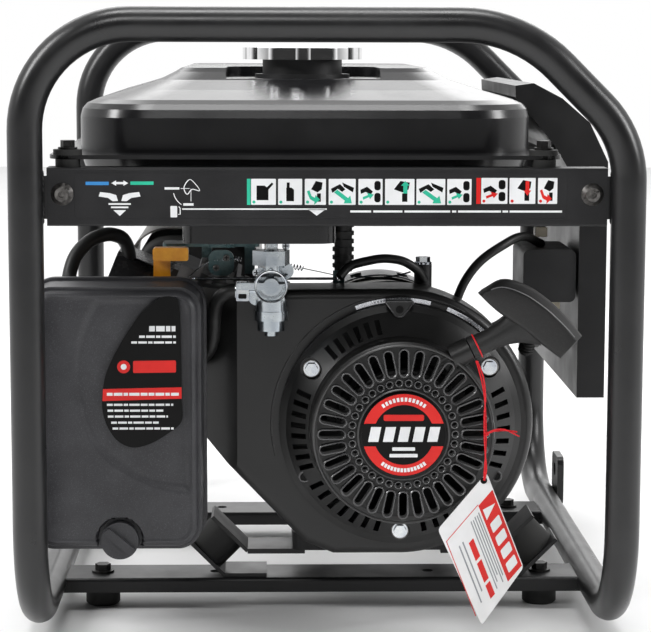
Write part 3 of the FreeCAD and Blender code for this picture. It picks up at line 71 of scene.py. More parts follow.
# ---------------------------------------------------------------- materials
def finish(name, low, high, rough, metal=0.0, mottle=28.0, grain=1300.0, relief=0.12, height=0.15, coat=0.0,
        coat_rough=0.1, stretch=(1, 1, 1), specular=0.36, speck=0.0):
    """Finish whose colour and roughness drift slowly, with fine relief; speck adds pale or dark flecks."""
    material = bpy.data.materials.new(name)
    material.use_nodes = True
    tree = material.node_tree
    link = tree.links.new
    shader = tree.nodes["Principled BSDF"]

    def add(kind, **values):
        made = tree.nodes.new(kind)
        for key, value in values.items():
            made.inputs[key].default_value = value
        return made

    place = tree.nodes.new("ShaderNodeTexCoord")
    mapping = add("ShaderNodeMapping", Scale=stretch)
    link(place.outputs["Object"], mapping.inputs["Vector"])
    drift = add("ShaderNodeTexNoise", Scale=mottle, Detail=4.0, Roughness=0.6)
    fine = add("ShaderNodeTexNoise", Scale=grain, Detail=2.0, Roughness=0.5)
    link(mapping.outputs["Vector"], drift.inputs["Vector"])
    link(mapping.outputs["Vector"], fine.inputs["Vector"])
    ramp = tree.nodes.new("ShaderNodeValToRGB")
    ramp.color_ramp.elements[0].position = 0.35
    ramp.color_ramp.elements[1].position = 0.68
    ramp.color_ramp.elements[0].color = (*low, 1)
    ramp.color_ramp.elements[1].color = (*high, 1)
    link(drift.outputs["Fac"], ramp.inputs["Fac"])
    colour = ramp.outputs["Color"]
    if speck:
        flecks = add("ShaderNodeMapRange", **{"From Min": 0.56, "From Max": 0.72, "To Min": 0.0,
            "To Max": speck})
        blend = tree.nodes.new("ShaderNodeMix")
        blend.data_type = "RGBA"
        blend.inputs["B"].default_value = (*[min(1.0, c * 4 + 0.02) for c in high], 1)
        link(fine.outputs["Fac"], flecks.inputs["Value"])
        link(flecks.outputs["Result"], blend.inputs["Factor"])
        link(colour, blend.inputs["A"])
        colour = blend.outputs["Result"]
    link(colour, shader.inputs["Base Color"])
    shine = add("ShaderNodeMapRange", **{"From Min": 0.3, "From Max": 0.7, "To Min": rough[0],
        "To Max": rough[1]})
    link(drift.outputs["Fac"], shine.inputs["Value"])
    link(shine.outputs["Result"], shader.inputs["Roughness"])
    bump = add("ShaderNodeBump", Strength=relief, Distance=height * MM)
    link(fine.outputs["Fac"], bump.inputs["Height"])
    link(bump.outputs["Normal"], shader.inputs["Normal"])
    shader.inputs["Metallic"].default_value = metal
    shader.inputs["Specular IOR Level"].default_value = specular
    shader.inputs["Coat Weight"].default_value = coat
    shader.inputs["Coat Roughness"].default_value = coat_rough
    return material


# name, darkest and lightest colour, roughness range, grain, relief, then what differs from the defaults
FINISH = {}
for name, low, high, rough, grain, relief, extra in (
    ("tube_paint", (0.007, 0.007, 0.0075), (0.012, 0.012, 0.0125), (0.27, 0.36), 900, 0.1,
     dict(specular=0.5)),
    ("sheet_paint", (0.006, 0.006, 0.0065), (0.011, 0.011, 0.0115), (0.34, 0.46), 900, 0.12, {}),
    ("panel_paint", (0.007, 0.007, 0.0078), (0.013, 0.013, 0.0142), (0.42, 0.55), 1100, 0.35,
     dict(height=0.2, speck=0.05)),
    ("tank_paint", (0.006, 0.006, 0.0066), (0.009, 0.009, 0.0098), (0.2, 0.27), 500, 0.02,
     dict(specular=0.55)),
    ("rubber", (0.01, 0.01, 0.01), (0.022, 0.022, 0.021), (0.6, 0.8), 1500, 0.25, {}),
    ("hose_rubber", (0.01, 0.01, 0.01), (0.018, 0.018, 0.018), (0.38, 0.5), 1600, 0.15, {}),
    ("bright_steel", (0.1, 0.095, 0.09), (0.26, 0.25, 0.24), (0.25, 0.42), 1800, 0.15,
     dict(metal=1.0, mottle=300)),
    ("black_steel", (0.012, 0.012, 0.012), (0.035, 0.034, 0.033), (0.3, 0.48), 1500, 0.15,
     dict(metal=0.6, mottle=250)),
    ("zinc", (0.42, 0.45, 0.5), (0.7, 0.72, 0.72), (0.12, 0.24), 1500, 0.1, dict(metal=1.0, mottle=160)),
    ("zinc_casting", (0.38, 0.42, 0.46), (0.6, 0.64, 0.66), (0.16, 0.3), 900, 0.15,
     dict(metal=1.0, mottle=90)),
    ("chrome", (0.76, 0.76, 0.77), (0.88, 0.88, 0.88), (0.03, 0.08), 700, 0.02, dict(metal=1.0, mottle=60)),
    ("black_plastic", (0.01, 0.01, 0.0105), (0.018, 0.018, 0.019), (0.4, 0.55), 1300, 0.2, {}),
    ("shroud_plastic", (0.007, 0.007, 0.0072), (0.012, 0.0118, 0.0116), (0.3, 0.4), 800, 0.1,
     dict(specular=0.45)),
    ("grey_plastic", (0.028, 0.028, 0.031), (0.044, 0.044, 0.048), (0.38, 0.5), 1500, 0.3, dict(speck=0.22)),
    ("grip_plastic", (0.016, 0.016, 0.016), (0.026, 0.025, 0.025), (0.42, 0.55), 1300, 0.3, dict(speck=0.12)),
    ("reel_plastic", (0.012, 0.012, 0.012), (0.024, 0.024, 0.024), (0.4, 0.55), 1200, 0.15, {}),
    ("box_plastic", (0.006, 0.006, 0.0065), (0.01, 0.01, 0.0105), (0.36, 0.48), 900, 0.12, {}),
    ("face_plate", (0.02, 0.02, 0.022), (0.032, 0.032, 0.034), (0.4, 0.5), 1400, 0.15, {}),
    ("lid_plastic", (0.03, 0.045, 0.1), (0.045, 0.065, 0.14), (0.35, 0.5), 1200, 0.15, {}),
    ("red_plastic", (0.5, 0.01, 0.01), (0.62, 0.022, 0.016), (0.25, 0.36), 1000, 0.08, dict(coat=0.3)),
    ("white_plastic", (0.7, 0.7, 0.67), (0.8, 0.8, 0.78), (0.3, 0.42), 1000, 0.08, {}),
    ("amber_plastic", (0.78, 0.29, 0.012), (0.93, 0.42, 0.03), (0.28, 0.42), 900, 0.12,
     dict(mottle=90, coat=0.2)),
    ("engine_casting", (0.009, 0.009, 0.0095), (0.018, 0.018, 0.019), (0.45, 0.65), 420, 0.5,
     dict(height=0.4)),
    ("bare_casting", (0.2, 0.2, 0.205), (0.36, 0.36, 0.365), (0.42, 0.6), 480, 0.5,
     dict(metal=0.85, mottle=60, height=0.35)),
    ("rocker_paint", (0.014, 0.014, 0.015), (0.022, 0.022, 0.023), (0.2, 0.32), 700, 0.08, dict(coat=0.4)),
    ("plated_steel", (0.055, 0.1, 0.105), (0.16, 0.22, 0.22), (0.25, 0.42), 1100, 0.15,
     dict(metal=0.9, mottle=90)),
    ("machined_steel", (0.38, 0.38, 0.38), (0.6, 0.6, 0.59), (0.2, 0.38), 1500, 0.2,
     dict(metal=1.0, mottle=120, stretch=(1, 0.15, 1))),
    ("cast_iron", (0.05, 0.048, 0.046), (0.12, 0.115, 0.11), (0.45, 0.65), 500, 0.5,
     dict(metal=0.7, mottle=80, height=0.3)),
    ("laminations", (0.04, 0.035, 0.03), (0.11, 0.095, 0.08), (0.35, 0.55), 900, 0.8,
     dict(metal=0.6, mottle=30, height=0.3, stretch=(0.05, 1, 0.05))),
    ("heat_paint", (0.016, 0.016, 0.016), (0.034, 0.033, 0.031), (0.55, 0.75), 800, 0.35, {}),
    ("shield_steel", (0.16, 0.155, 0.15), (0.32, 0.31, 0.29), (0.32, 0.5), 900, 0.15,
     dict(metal=0.95, mottle=50)),
    ("card", (0.78, 0.78, 0.78), (0.86, 0.86, 0.87), (0.35, 0.5), 1500, 0.06, {}),
    ("red_string", (0.62, 0.008, 0.016), (0.8, 0.02, 0.03), (0.5, 0.7), 2500, 0.5, dict(mottle=400)),
    # black print; also used as painted shade in holes, recesses and screw slots
    ("ink_black_and_painted_shade", (0.0025, 0.0025, 0.0025), (0.004, 0.004, 0.004), (0.3, 0.4), 900, 0.03,
     dict(specular=0.15)),
    ("ink_white", (0.74, 0.75, 0.76), (0.84, 0.85, 0.86), (0.32, 0.45), 1200, 0.05, {}),
    ("ink_red", (0.6, 0.01, 0.008), (0.72, 0.018, 0.013), (0.28, 0.4), 1000, 0.05, {}),
    ("ink_green", (0.02, 0.42, 0.26), (0.03, 0.52, 0.33), (0.3, 0.42), 1000, 0.05, {}),
    ("ink_blue", (0.03, 0.2, 0.5), (0.05, 0.26, 0.6), (0.3, 0.42), 1000, 0.05, {}),
    ("ink_grey", (0.24, 0.25, 0.27), (0.34, 0.35, 0.37), (0.35, 0.5), 1000, 0.05, {}),
    ("foil", (0.55, 0.56, 0.6), (0.82, 0.83, 0.86), (0.2, 0.35), 2200, 0.3, dict(metal=0.9, mottle=700)),
    # paler and shinier than the black plastic: painted highlight on rims round slots, holes and edges
    ("painted_highlight_rim", (0.034, 0.034, 0.036), (0.056, 0.055, 0.056), (0.22, 0.32), 900, 0.06, dict(specular=0.9)),
    # raised beads and brim lines in paler, shinier paint than the shroud: real beads, with painted highlight
    # in their colour
    ("bead_paint_and_painted_highlight", (0.02, 0.02, 0.0205), (0.03, 0.0295, 0.029), (0.26, 0.36), 900, 0.12,
     dict(specular=0.7)),
    # pale grey line: painted highlight along the top edge of the starter grip
    ("painted_highlight_line", (0.16, 0.16, 0.165), (0.26, 0.26, 0.265), (0.3, 0.42), 900, 0.08, {}),
    ("beige_plastic", (0.5, 0.44, 0.34), (0.62, 0.56, 0.45), (0.4, 0.52), 1100, 0.12, {}),
    ("copper", (0.3, 0.12, 0.05), (0.5, 0.22, 0.09), (0.25, 0.4), 1200, 0.3, dict(metal=0.9, mottle=400)),
):
    FINISH[name] = finish(name, low, high, rough, grain=grain, relief=relief, **extra)


def paint_packed_nodes():
    for row in frame["record"]["subparts"]:
        frame["nodes"][row["node"]].material_slots[0].material = FINISH[row["material_slot"]]


# ---------------------------------------------------------------- mesh helpers, all sizes in millimetres
def placed(name, data):
    made = bpy.data.objects.new(name, data)
    bpy.context.scene.collection.objects.link(made)
    return made


def piece(name, shapes, finish_name, body="frame", smooth=False, bevel=0.0, weld=False):
    """One object from (verts, faces) pairs, with the named finish as its material."""
    verts, faces = joined(shapes)
    mesh = bpy.data.meshes.new(name)
    mesh.from_pydata([Vector(v) * MM for v in verts], [], faces)
    mesh.validate()
    tool = bmesh.new()
    tool.from_mesh(mesh)
    if weld:
        bmesh.ops.remove_doubles(tool, verts=tool.verts, dist=0.02 * MM)
    bmesh.ops.recalc_face_normals(tool, faces=tool.faces)
    tool.to_mesh(mesh)
    tool.free()
    mesh.materials.append(FINISH[finish_name])
    made = placed(name, mesh)
    if smooth:
        mesh.shade_smooth()
        mesh.set_sharp_from_angle(angle=radians(40))
    if bevel:
        edge = made.modifiers.new("edge", "BEVEL")
        edge.width = bevel * MM
        edge.segments = 2
        edge.limit_method = "ANGLE"
        edge.harden_normals = True
    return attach(made, body)


def joined(parts):
    """Vertices and faces of several (verts, faces) pairs as one pair."""
    verts, faces = [], []
    for part_verts, part_faces in parts:
        base = len(verts)
        verts += part_verts
        faces += [[i + base for i in f] for f in part_faces]
    return verts, faces


def plate(outline, y_front, thick):
    """Flat sheet facing -Y: outline is a list of (x, z), y_front its visible face."""
    n = len(outline)
    verts = [(x, y_front, z) for x, z in outline] + [(x, y_front + thick, z) for x, z in outline]
    faces = [list(range(n)), list(range(2 * n - 1, n - 1, -1))]
    faces += [[i, i + n, (i + 1) % n + n, (i + 1) % n] for i in range(n)]
    return verts, faces


def round_outline(x0, x1, z0, z1, r, steps=6):
    points = []
    for cx, cz, a in ((x1 - r, z1 - r, 0), (x0 + r, z1 - r, 90), (x0 + r, z0 + r, 180),
            (x1 - r, z0 + r, 270)):
        for i in range(steps + 1):
            t = radians(a + 90 * i / steps)
            points.append((cx + r * cos(t), cz + r * sin(t)))
    return points


def disc_outline(cx, cz, r, steps=24):
    return [(cx + r * cos(2 * pi * i / steps), cz + r * sin(2 * pi * i / steps)) for i in range(steps)]


def spline_point(p0, p1, p2, p3, t):
    """Catmull-Rom point between p1 and p2."""
    return 0.5 * (2 * p1 + (p2 - p0) * t + (2 * p0 - 5 * p1 + 4 * p2 - p3) * t * t
        + (3 * p1 - p0 - 3 * p2 + p3) * t ** 3)


def smooth_outline(points, steps=8):
    """Closed smooth curve through the points."""
    out = []
    n = len(points)
    for i in range(n):
        corners = [Vector(points[(i + k) % n]) for k in (-1, 0, 1, 2)]
        out += [tuple(spline_point(*corners, s / steps)) for s in range(steps)]
    return out


def rect(x0, x1, z0, z1):
    return [(x0, z0), (x1, z0), (x1, z1), (x0, z1)]


def lifted(outline, y):
    """An (x, z) outline set at depth y."""
    return [(px, y, pz) for px, pz in outline]


def dashes(left, right, widths, gap):
    """Ends of the dashes of a broken bar that stands where a line of words would be."""
    k = 0
    while left < right - 1:
        end = min(left + widths[k % len(widths)], right)
        yield left, end
        left = end + gap
        k += 1


def sweep(path, radius, sides=8, closed=False):
    """Tube of the given radius along a list of points."""
    points = [Vector(p) for p in path]
    n = len(points)
    verts, faces = [], []
    side = None
    for i, p in enumerate(points):
        ahead = points[(i + 1) % n] if closed or i < n - 1 else p
        behind = points[i - 1] if closed or i > 0 else p
        tangent = (ahead - behind).normalized()
        if side is None:
            side = tangent.orthogonal().normalized()
        side = (side - tangent * side.dot(tangent)).normalized()
        other = tangent.cross(side)
        for k in range(sides):
            a = 2 * pi * k / sides
            verts.append(tuple(p + (side * cos(a) + other * sin(a)) * radius))
    for i in range(n if closed else n - 1):
        for k in range(sides):
            a, b = i * sides + k, i * sides + (k + 1) % sides
            c, d = ((i + 1) % n) * sides + (k + 1) % sides, ((i + 1) % n) * sides + k
            faces.append([a, b, c, d])
    if not closed:
        faces += [list(range(sides))[::-1], [(n - 1) * sides + k for k in range(sides)]]
    return verts, faces


def curved(points, steps=8):
    """Open smooth curve through 3D points."""
    p = [Vector(q) for q in points]
    p = [2 * p[0] - p[1]] + p + [2 * p[-1] - p[-2]]
    out = [spline_point(*p[i - 1:i + 3], s / steps) for i in range(1, len(p) - 2) for s in range(steps)]
    return out + [p[-2]]


def spring_path(start, end, radius, turns, steps=10):
    """Helix from start to end."""
    a, b = Vector(start), Vector(end)
    axis = (b - a).normalized()
    side = axis.orthogonal().normalized()
    other = axis.cross(side)
    count = int(turns * steps)
    return [a + (b - a) * i / count
        + (side * cos(2 * pi * i / steps) + other * sin(2 * pi * i / steps)) * radius
        for i in range(count + 1)]


def around_crank(r, angle, y):
    t = radians(angle)
    return CRANK.x / MM + r * cos(t), y, CRANK.z / MM + r * sin(t)


def arc_points(cx, cz, r, start, end, steps):
    return [(cx + r * cos(radians(start + (end - start) * i / steps)),
        cz + r * sin(radians(start + (end - start) * i / steps))) for i in range(steps + 1)]


# ---------------------------------------------------------------- camera, floor and light
def make_camera():
    yaw, pitch, roll = radians(1.48), radians(7.19), radians(0.153)
    ahead = Vector((sin(yaw) * cos(pitch), cos(yaw) * cos(pitch), -sin(pitch)))
    right = Vector((cos(yaw), -sin(yaw), 0))
    up = right.cross(ahead)
    side = right * cos(roll) + up * sin(roll)
    top = up * cos(roll) - right * sin(roll)
    data = bpy.data.cameras.new("camera")
    data.lens = 121.0
    data.sensor_width = 36.0
    data.clip_start, data.clip_end = 0.1, 50.0
    camera = placed("camera", data)
    camera.matrix_world = Matrix.Translation((-0.0423, -1.8581, 0.4533)) @ Matrix((side, top,
        -ahead)).transposed().to_4x4()
    bpy.context.scene.camera = camera


def soft_light(name, place, aim, width, height, power):
    data = bpy.data.lights.new(name, "AREA")
    data.shape = "RECTANGLE"
    data.size, data.size_y = width, height
    data.energy = power
    lamp = placed(name, data)
    lamp.location = place
    lamp.rotation_mode = "QUATERNION"
    lamp.rotation_quaternion = (Vector(aim) - Vector(place)).to_track_quat("-Z", "Y")


def make_studio():
    world = bpy.data.worlds.new("studio")
    bpy.context.scene.world = world
    world.use_nodes = True
    tree = world.node_tree
    link = tree.links.new
    backdrop = tree.nodes["Background"]
    backdrop.inputs["Color"].default_value = (1, 1, 1, 1)
    heading = tree.nodes.new("ShaderNodeTexCoord")
    split = tree.nodes.new("ShaderNodeSeparateXYZ")
    glow = tree.nodes.new("ShaderNodeMapRange")
    glow.interpolation_type = "SMOOTHSTEP"
    for key, value in (("From Min", -0.7), ("From Max", 0.45), ("To Min", 0.04), ("To Max", 1.0)):
        glow.inputs[key].default_value = value
    link(heading.outputs["Generated"], split.inputs["Vector"])
    link(split.outputs["Y"], glow.inputs["Value"])
    link(glow.outputs["Result"], backdrop.inputs["Strength"])
    bpy.context.scene.view_settings.view_transform = "Standard"
    size = 6.0
    mesh = bpy.data.meshes.new("floor")
    mesh.from_pydata([(-size, -size, 0), (size, -size, 0), (size, size, 0), (-size, size, 0)], [],
        [(0, 1, 2, 3)])
    mesh.materials.append(finish("floor_paper", (0.80, 0.80, 0.80), (0.84, 0.84, 0.84), (0.6, 0.7), mottle=3,
        grain=60, relief=0.02))
    floor = placed("floor", mesh)
    soft_light("key", (-1.9, -0.9, 1.6), (0, 0, 0.25), 0.5, 1.0, 34)
    soft_light("fill", (2.0, -0.9, 1.2), (0, 0, 0.2), 0.5, 1.0, 26)
    soft_light("top", (0, -0.3, 2.2), (0, 0, 0.2), 1.3, 0.5, 24)
    soft_light("front", (-0.3, -2.4, 2.0), (0, 0, 0.2), 0.9, 0.5, 16)
    soft_light("back", (0.4, 2.2, 1.3), (0, 0, 0.25), 1.6, 1.0, 10)
    soft_light("wash", (0, 3.8, 3.0), (0, 3.8, 0), 5.0, 3.0, 90)


# ---------------------------------------------------------------- recoil housing
SLOTS, HOLES = 32, 34
SLOT_IN, SLOT_OUT, SLOT_HALF = 43.6, 63.6, 3.2
HOLE_RING, HOLE_R = 38.7, 2.3
GRILLE_EDGE = 67.0
HUB_R = 33.5


def stadium(r0, r1, half, angle, y, steps=6):
    """Closed slot outline between two radii on the grille, at an angle about the crankshaft."""
    inner, outer = r0 + half, r1 - half
    local = [(outer + half * cos(t), half * sin(t)) for t in (radians(-90 + 180 * i / steps)
        for i in range(steps + 1))]
    local += [(inner + half * cos(t), half * sin(t)) for t in (radians(90 + 180 * i / steps)
        for i in range(steps + 1))]
    c, s = cos(radians(angle)), sin(radians(angle))
    return [(CRANK.x / MM + u * c - v * s, y, CRANK.z / MM + u * s + v * c) for u, v in local]


def recoil_rims():
    """Rims round each slot and hole of the grille, its two beads, and the lines of the brim, all in paler,
    shinier paint than the shroud as painted highlights; the brim lines are partial arcs where the highlights
    fall.
    """
    y = GRILLE_Y / MM - 0.1
    # slot and hole rims in pale, shiny paint: painted highlights
    parts = [sweep(stadium(SLOT_IN - 0.3, SLOT_OUT + 0.3, SLOT_HALF + 0.3, 360.0 * i / SLOTS, y), 0.7, 6,
        True) for i in range(SLOTS)]
    for i in range(HOLES):
        cx, _, cz = around_crank(HOLE_RING, 360.0 * i / HOLES, y)
        ring = lifted(disc_outline(cx, cz, HOLE_R + 0.3, 12), y)
        parts.append(sweep(ring, 0.5, 6, True))
    piece("recoil_slot_rim_highlights", parts, "painted_highlight_rim", smooth=True)
    beads = []
    for r, y_ring, thick in ((GRILLE_EDGE, y + 0.4, 1.1), (HUB_R + 0.4, y + 0.1, 0.9)):
        ring = [around_crank(r, 360.0 * i / 96, y_ring) for i in range(96)]
        beads.append(sweep(ring, thick, 8, True))
    piece("recoil_beads", beads, "bead_paint_and_painted_highlight", smooth=True)
    brim_highlights = []
    # partial arcs only, where bright painted highlights fall on the brim
    for r, start, end in ((RECOIL_EDGE - 1.6, 98, 170), (RECOIL_EDGE - 1.6, 52, 82),
            (RECOIL_EDGE - 4.6, 100, 150), (RECOIL_EDGE - 1.6, 176, 205), (RECOIL_EDGE + 6.0, 60, 195)):
        path = [around_crank(r, start + (end - start) * i / 40,
            CASE_HIGH.y / MM - (6.8 if r < RECOIL_EDGE else -0.4)) for i in range(41)]
        brim_highlights.append(sweep(path, 0.9, 6))
    piece("recoil_brim_highlights", brim_highlights, "bead_paint_and_painted_highlight", smooth=True)


def vee_boss():
    """Pointed boss with a bolt hole at the top of the recoil housing; the bolt hole and two case holes are
    black discs of painted shade, and pale lines round the boss and the case holes are painted highlights.
    """
    cx, cz = CRANK.x / MM - 1.5, CRANK.z / MM
    y = CASE_HIGH.y / MM - 15.0
    shape = rounded_polygon([(cx - 11, cz + 95.5), (cx + 11, cz + 95.5), (cx + 2.6, cz + 84),
        (cx - 2.6, cz + 84)], 1.8)
    piece("vee_boss", [plate(shape, y, 14.0)], "shroud_plastic", bevel=1.0)
    edge = lifted(shape, y - 0.1)
    # pale line round the boss: painted highlight
    piece("vee_edge_highlight", [sweep(edge, 0.7, 6, True)], "painted_highlight_rim", smooth=True)
    # black disc: painted shade in the bolt hole
    piece("vee_hole_shade", [plate(disc_outline(cx, cz + 89.5, 3.0, 24), y - 0.15, 0.4)], "ink_black_and_painted_shade")
    for name, angle in (("left", 208), ("right", -28)):
        hx, _, hz = around_crank(83.0, angle, 0)
        # black discs: painted shade in the case holes; their pale rims are painted highlights
        piece("case_hole_" + name, [plate(disc_outline(hx, hz, 3.2, 24), y + 1.0, 6.0)], "ink_black_and_painted_shade")
        rim = lifted(disc_outline(hx, hz, 3.8, 24), y + 0.9)
        piece("case_hole_rim_" + name, [sweep(rim, 0.8, 6, True)], "painted_highlight_rim", smooth=True)


def bolt_faces():
    """Hexagon edges and cross recesses on the three bolts of the recoil housing; the recesses are black bars
    of painted shade.
    """
    y = CASE_HIGH.y / MM - 15.6
    edges, marks = [], []
    for angle in (147, 34, 270):
        bx, _, bz = around_crank(81.0, angle, 0)
        edges.append(sweep(lifted(arc_points(bx, bz, 4.5, 12, 312, 5), y), 0.35, 6, True))
        for turn in (20, 110):
            c, s_ = cos(radians(turn)), sin(radians(turn))
            # black bars in the cross recess: painted shade
            marks.append(plate([(bx + u * c - v * s_, bz + u * s_ + v * c) for u,
                v in ((-2.8, -0.5), (2.8, -0.5), (2.8, 0.5), (-2.8, 0.5))], y - 0.1, 0.4))
        ring = lifted(disc_outline(bx, bz, 6.4, 30), y + 2.6)
        edges.append(sweep(ring, 0.6, 6, True))
    piece("bolt_edges", edges, "bright_steel", smooth=True)
    piece("bolt_recess_shade", marks, "ink_black_and_painted_shade")


def shroud_stickers():
    """Two narrow silver strips along the top of the fan shroud."""
    y = CASE_HIGH.y / MM - 1.0
    cx, cz = CRANK.x / MM, CRANK.z / MM
    strips, marks = [], []
    for start, end, low, high in ((111, 76, 93.6, 96.8), (68, 46, 93.6, 96.6)):
        outer = arc_points(cx, cz, high, start, end, 16)
        inner = arc_points(cx, cz, low, end, start, 16)
        strips.append(plate(outer + inner, y, 0.6))
        for k in range(12):
            a = start + (end - start) * (0.25 + 0.5 * k / 12)
            dash = arc_points(cx, cz, high - 0.9, a, a - 0.8, 2) + arc_points(cx, cz, low + 0.9, a - 0.8, a,
                2)
            marks.append(plate(dash, y - 0.1, 0.2))
    piece("shroud_strips", strips, "foil")
    piece("shroud_strip_marks", marks, "ink_grey")


def badge():
    """Round sticker on the hub: two red arcs, a black band and plain white bars instead of words."""
    cx, cz = CRANK.x / MM, CRANK.z / MM
    y = CASE_LOW.y / MM - 0.25
    band, outer, inner = 8.6, 30.8, 22.6
    piece("badge_disc", [plate(disc_outline(cx, cz, outer + 0.4, 72), y, 0.4)], "ink_black_and_painted_shade")
    arcs = []
    for sign in (1, -1):
        low_out = degrees(asin(band / outer))
        low_in = degrees(asin(band / inner))
        outline = arc_points(0, 0, outer, low_out, 180 - low_out, 40)
        outline += arc_points(0, 0, inner, 180 - low_in, low_in, 40)
        arcs.append(plate([(cx + px, cz + sign * pz) for px, pz in outline], y - 0.12, 0.2))
    bar = round_outline(cx - 15, cx + 15, cz + 10.6, cz + 15.2, 1.2)
    piece("badge_red", arcs + [plate(bar, y - 0.12, 0.2)], "ink_red")
    white = []
    for k in range(5):
        x0 = cx - 26.5 + 11.0 * k
        white.append(plate([(x0, cz - 5.2), (x0 + 7.6, cz - 5.2), (x0 + 9.8, cz + 6.0), (x0 + 2.2, cz + 6.0)],
            y - 0.12, 0.2))
    for k, half in enumerate((8.5, 10.5)):
        z = cz - 10.6 - 5.0 * k
        white.append(plate(round_outline(cx - half, cx + half, z - 1.3, z + 1.3, 0.6), y - 0.12, 0.2))
    for start, end, dashes in ((52, 128, 12), (232, 308, 14)):
        for k in range(dashes):
            a = start + (end - start) * (k + 0.5) / dashes
            t = radians(a)
            mid = Vector((cx + 26.7 * cos(t), cz + 26.7 * sin(t)))
            along, out = Vector((-sin(t), cos(t))), Vector((cos(t), sin(t)))
            corners = [mid - along * 0.95 - out * 1.5, mid + along * 0.95 - out * 1.5, mid + along * 0.95
                + out * 1.5, mid - along * 0.95 + out * 1.5]
            white.append(plate([tuple(c) for c in corners], y - 0.22, 0.2))
    piece("badge_white", white, "ink_white")


# ---------------------------------------------------------------- tag, string and starter rope
STRING = [(0.1110, -0.2544, 0.2175), (0.1146, -0.2568, 0.2060), (0.1174, -0.2576, 0.1920),
    (0.1183, -0.2579, 0.1770), (0.1189, -0.2580, 0.1620), (0.1185, -0.2586, 0.1480),
    (0.1179, -0.2592, 0.1370), (0.1174, -0.2593, 0.1280)]
STRING_D = 0.0012


def string_curve():
    data = bpy.data.curves.new("tag_string_main", "CURVE")
    data.dimensions = "3D"
    data.bevel_depth = STRING_D / 2
    data.bevel_resolution = 3
    spline = data.splines.new("NURBS")
    spline.points.add(len(STRING) - 1)
    for point, place in zip(spline.points, STRING):
        point.co = (*place, 1)
    spline.order_u = 3
    spline.use_endpoint_u = True
    spline.resolution_u = 12
    data.materials.append(FINISH["red_string"])
    made = placed("tag_string_main", data)
    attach(made, "hang_tag")
    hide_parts("tag_string")
    return made


def string_pieces():
    """Second strand, and the knot with its two tails."""
    second = [(x / MM + 1.5 * sin(k * 1.1 + 0.6), y / MM - 0.9, z / MM) for k, (x, y, z) in enumerate(STRING)]
    second[-1] = (STRING[-1][0] / MM + 0.4, STRING[-1][1] / MM - 0.9, STRING[-1][2] / MM)
    twin = piece("tag_string_twin", [sweep(curved(second), 0.6)], "red_string", body="hang_tag", smooth=True)
    knot_at = Vector((118.8, -258.8, 163.0))
    wraps = [knot_at + Vector((1.5 * cos(2.1 * k), 1.3 * sin(2.1 * k), 1.5 * sin(1.1 * k))) for k in range(9)]
    tails = [sweep(curved(wraps, 5), 0.65)]
    tails.append(sweep(curved([knot_at, knot_at + Vector((7, -0.6, 2.4)), knot_at + Vector((16, -0.4, 2.6)),
        knot_at + Vector((23, 0.2, 1.4))]), 0.55))
    tails.append(sweep(curved([knot_at, knot_at + Vector((6, -1.0, 3.2)), knot_at + Vector((14, -1.2, 3.4)),
        knot_at + Vector((24.6, -0.6, -1.8))]), 0.55))
    knot = piece("tag_string_knot", tails, "red_string", body="hang_tag", smooth=True)
    return [twin, knot]


def neck_loop():
    """Loop of the string round the neck of the starter handle."""
    t = radians(26)
    axis = Vector((cos(t), 0, sin(t)))
    centre = Vector((107, -247, 225)) + axis * 6
    down = Vector((sin(t), 0, -cos(t)))
    loop = [centre + (down * cos(2 * pi * k / 28) + Vector((0, 1, 0)) * sin(2 * pi * k / 28)) * 9.0
        for k in range(28)]
    piece("tag_string_loop", [sweep(loop, 0.6, 8, True)], "red_string", body="starter_handle", smooth=True)


TAG_CORNERS = [(119.6, 133.7), (148.2, 61.3), (117.2, 16.8), (83.4, 90.5)]
TAG_HOLE = (117.4, 127.7)
TAG_Y = -258.0


def tag_point(u, v):
    """Point on the card: u across from the plain edge to the red edge, v down from the hole."""
    top, right, _, left = [Vector(c) for c in TAG_CORNERS]
    long_side, short_side = right - top, left - top
    return tuple(top + long_side * v + short_side * (1 - u))


def tag_quad(u0, u1, v0, v1):
    return [tag_point(u0, v0), tag_point(u1, v0), tag_point(u1, v1), tag_point(u0, v1)]


def rounded_polygon(points, r, steps=4):
    out = []
    n = len(points)
    for i in range(n):
        p, a, b = Vector(points[i]), Vector(points[i - 1]), Vector(points[(i + 1) % n])
        start, end = p + (a - p).normalized() * r, p + (b - p).normalized() * r
        for k in range(steps + 1):
            t = k / steps
            q = start * (1 - t) ** 2 + p * 2 * t * (1 - t) + end * t * t
            out.append((q.x, q.y))
    return out


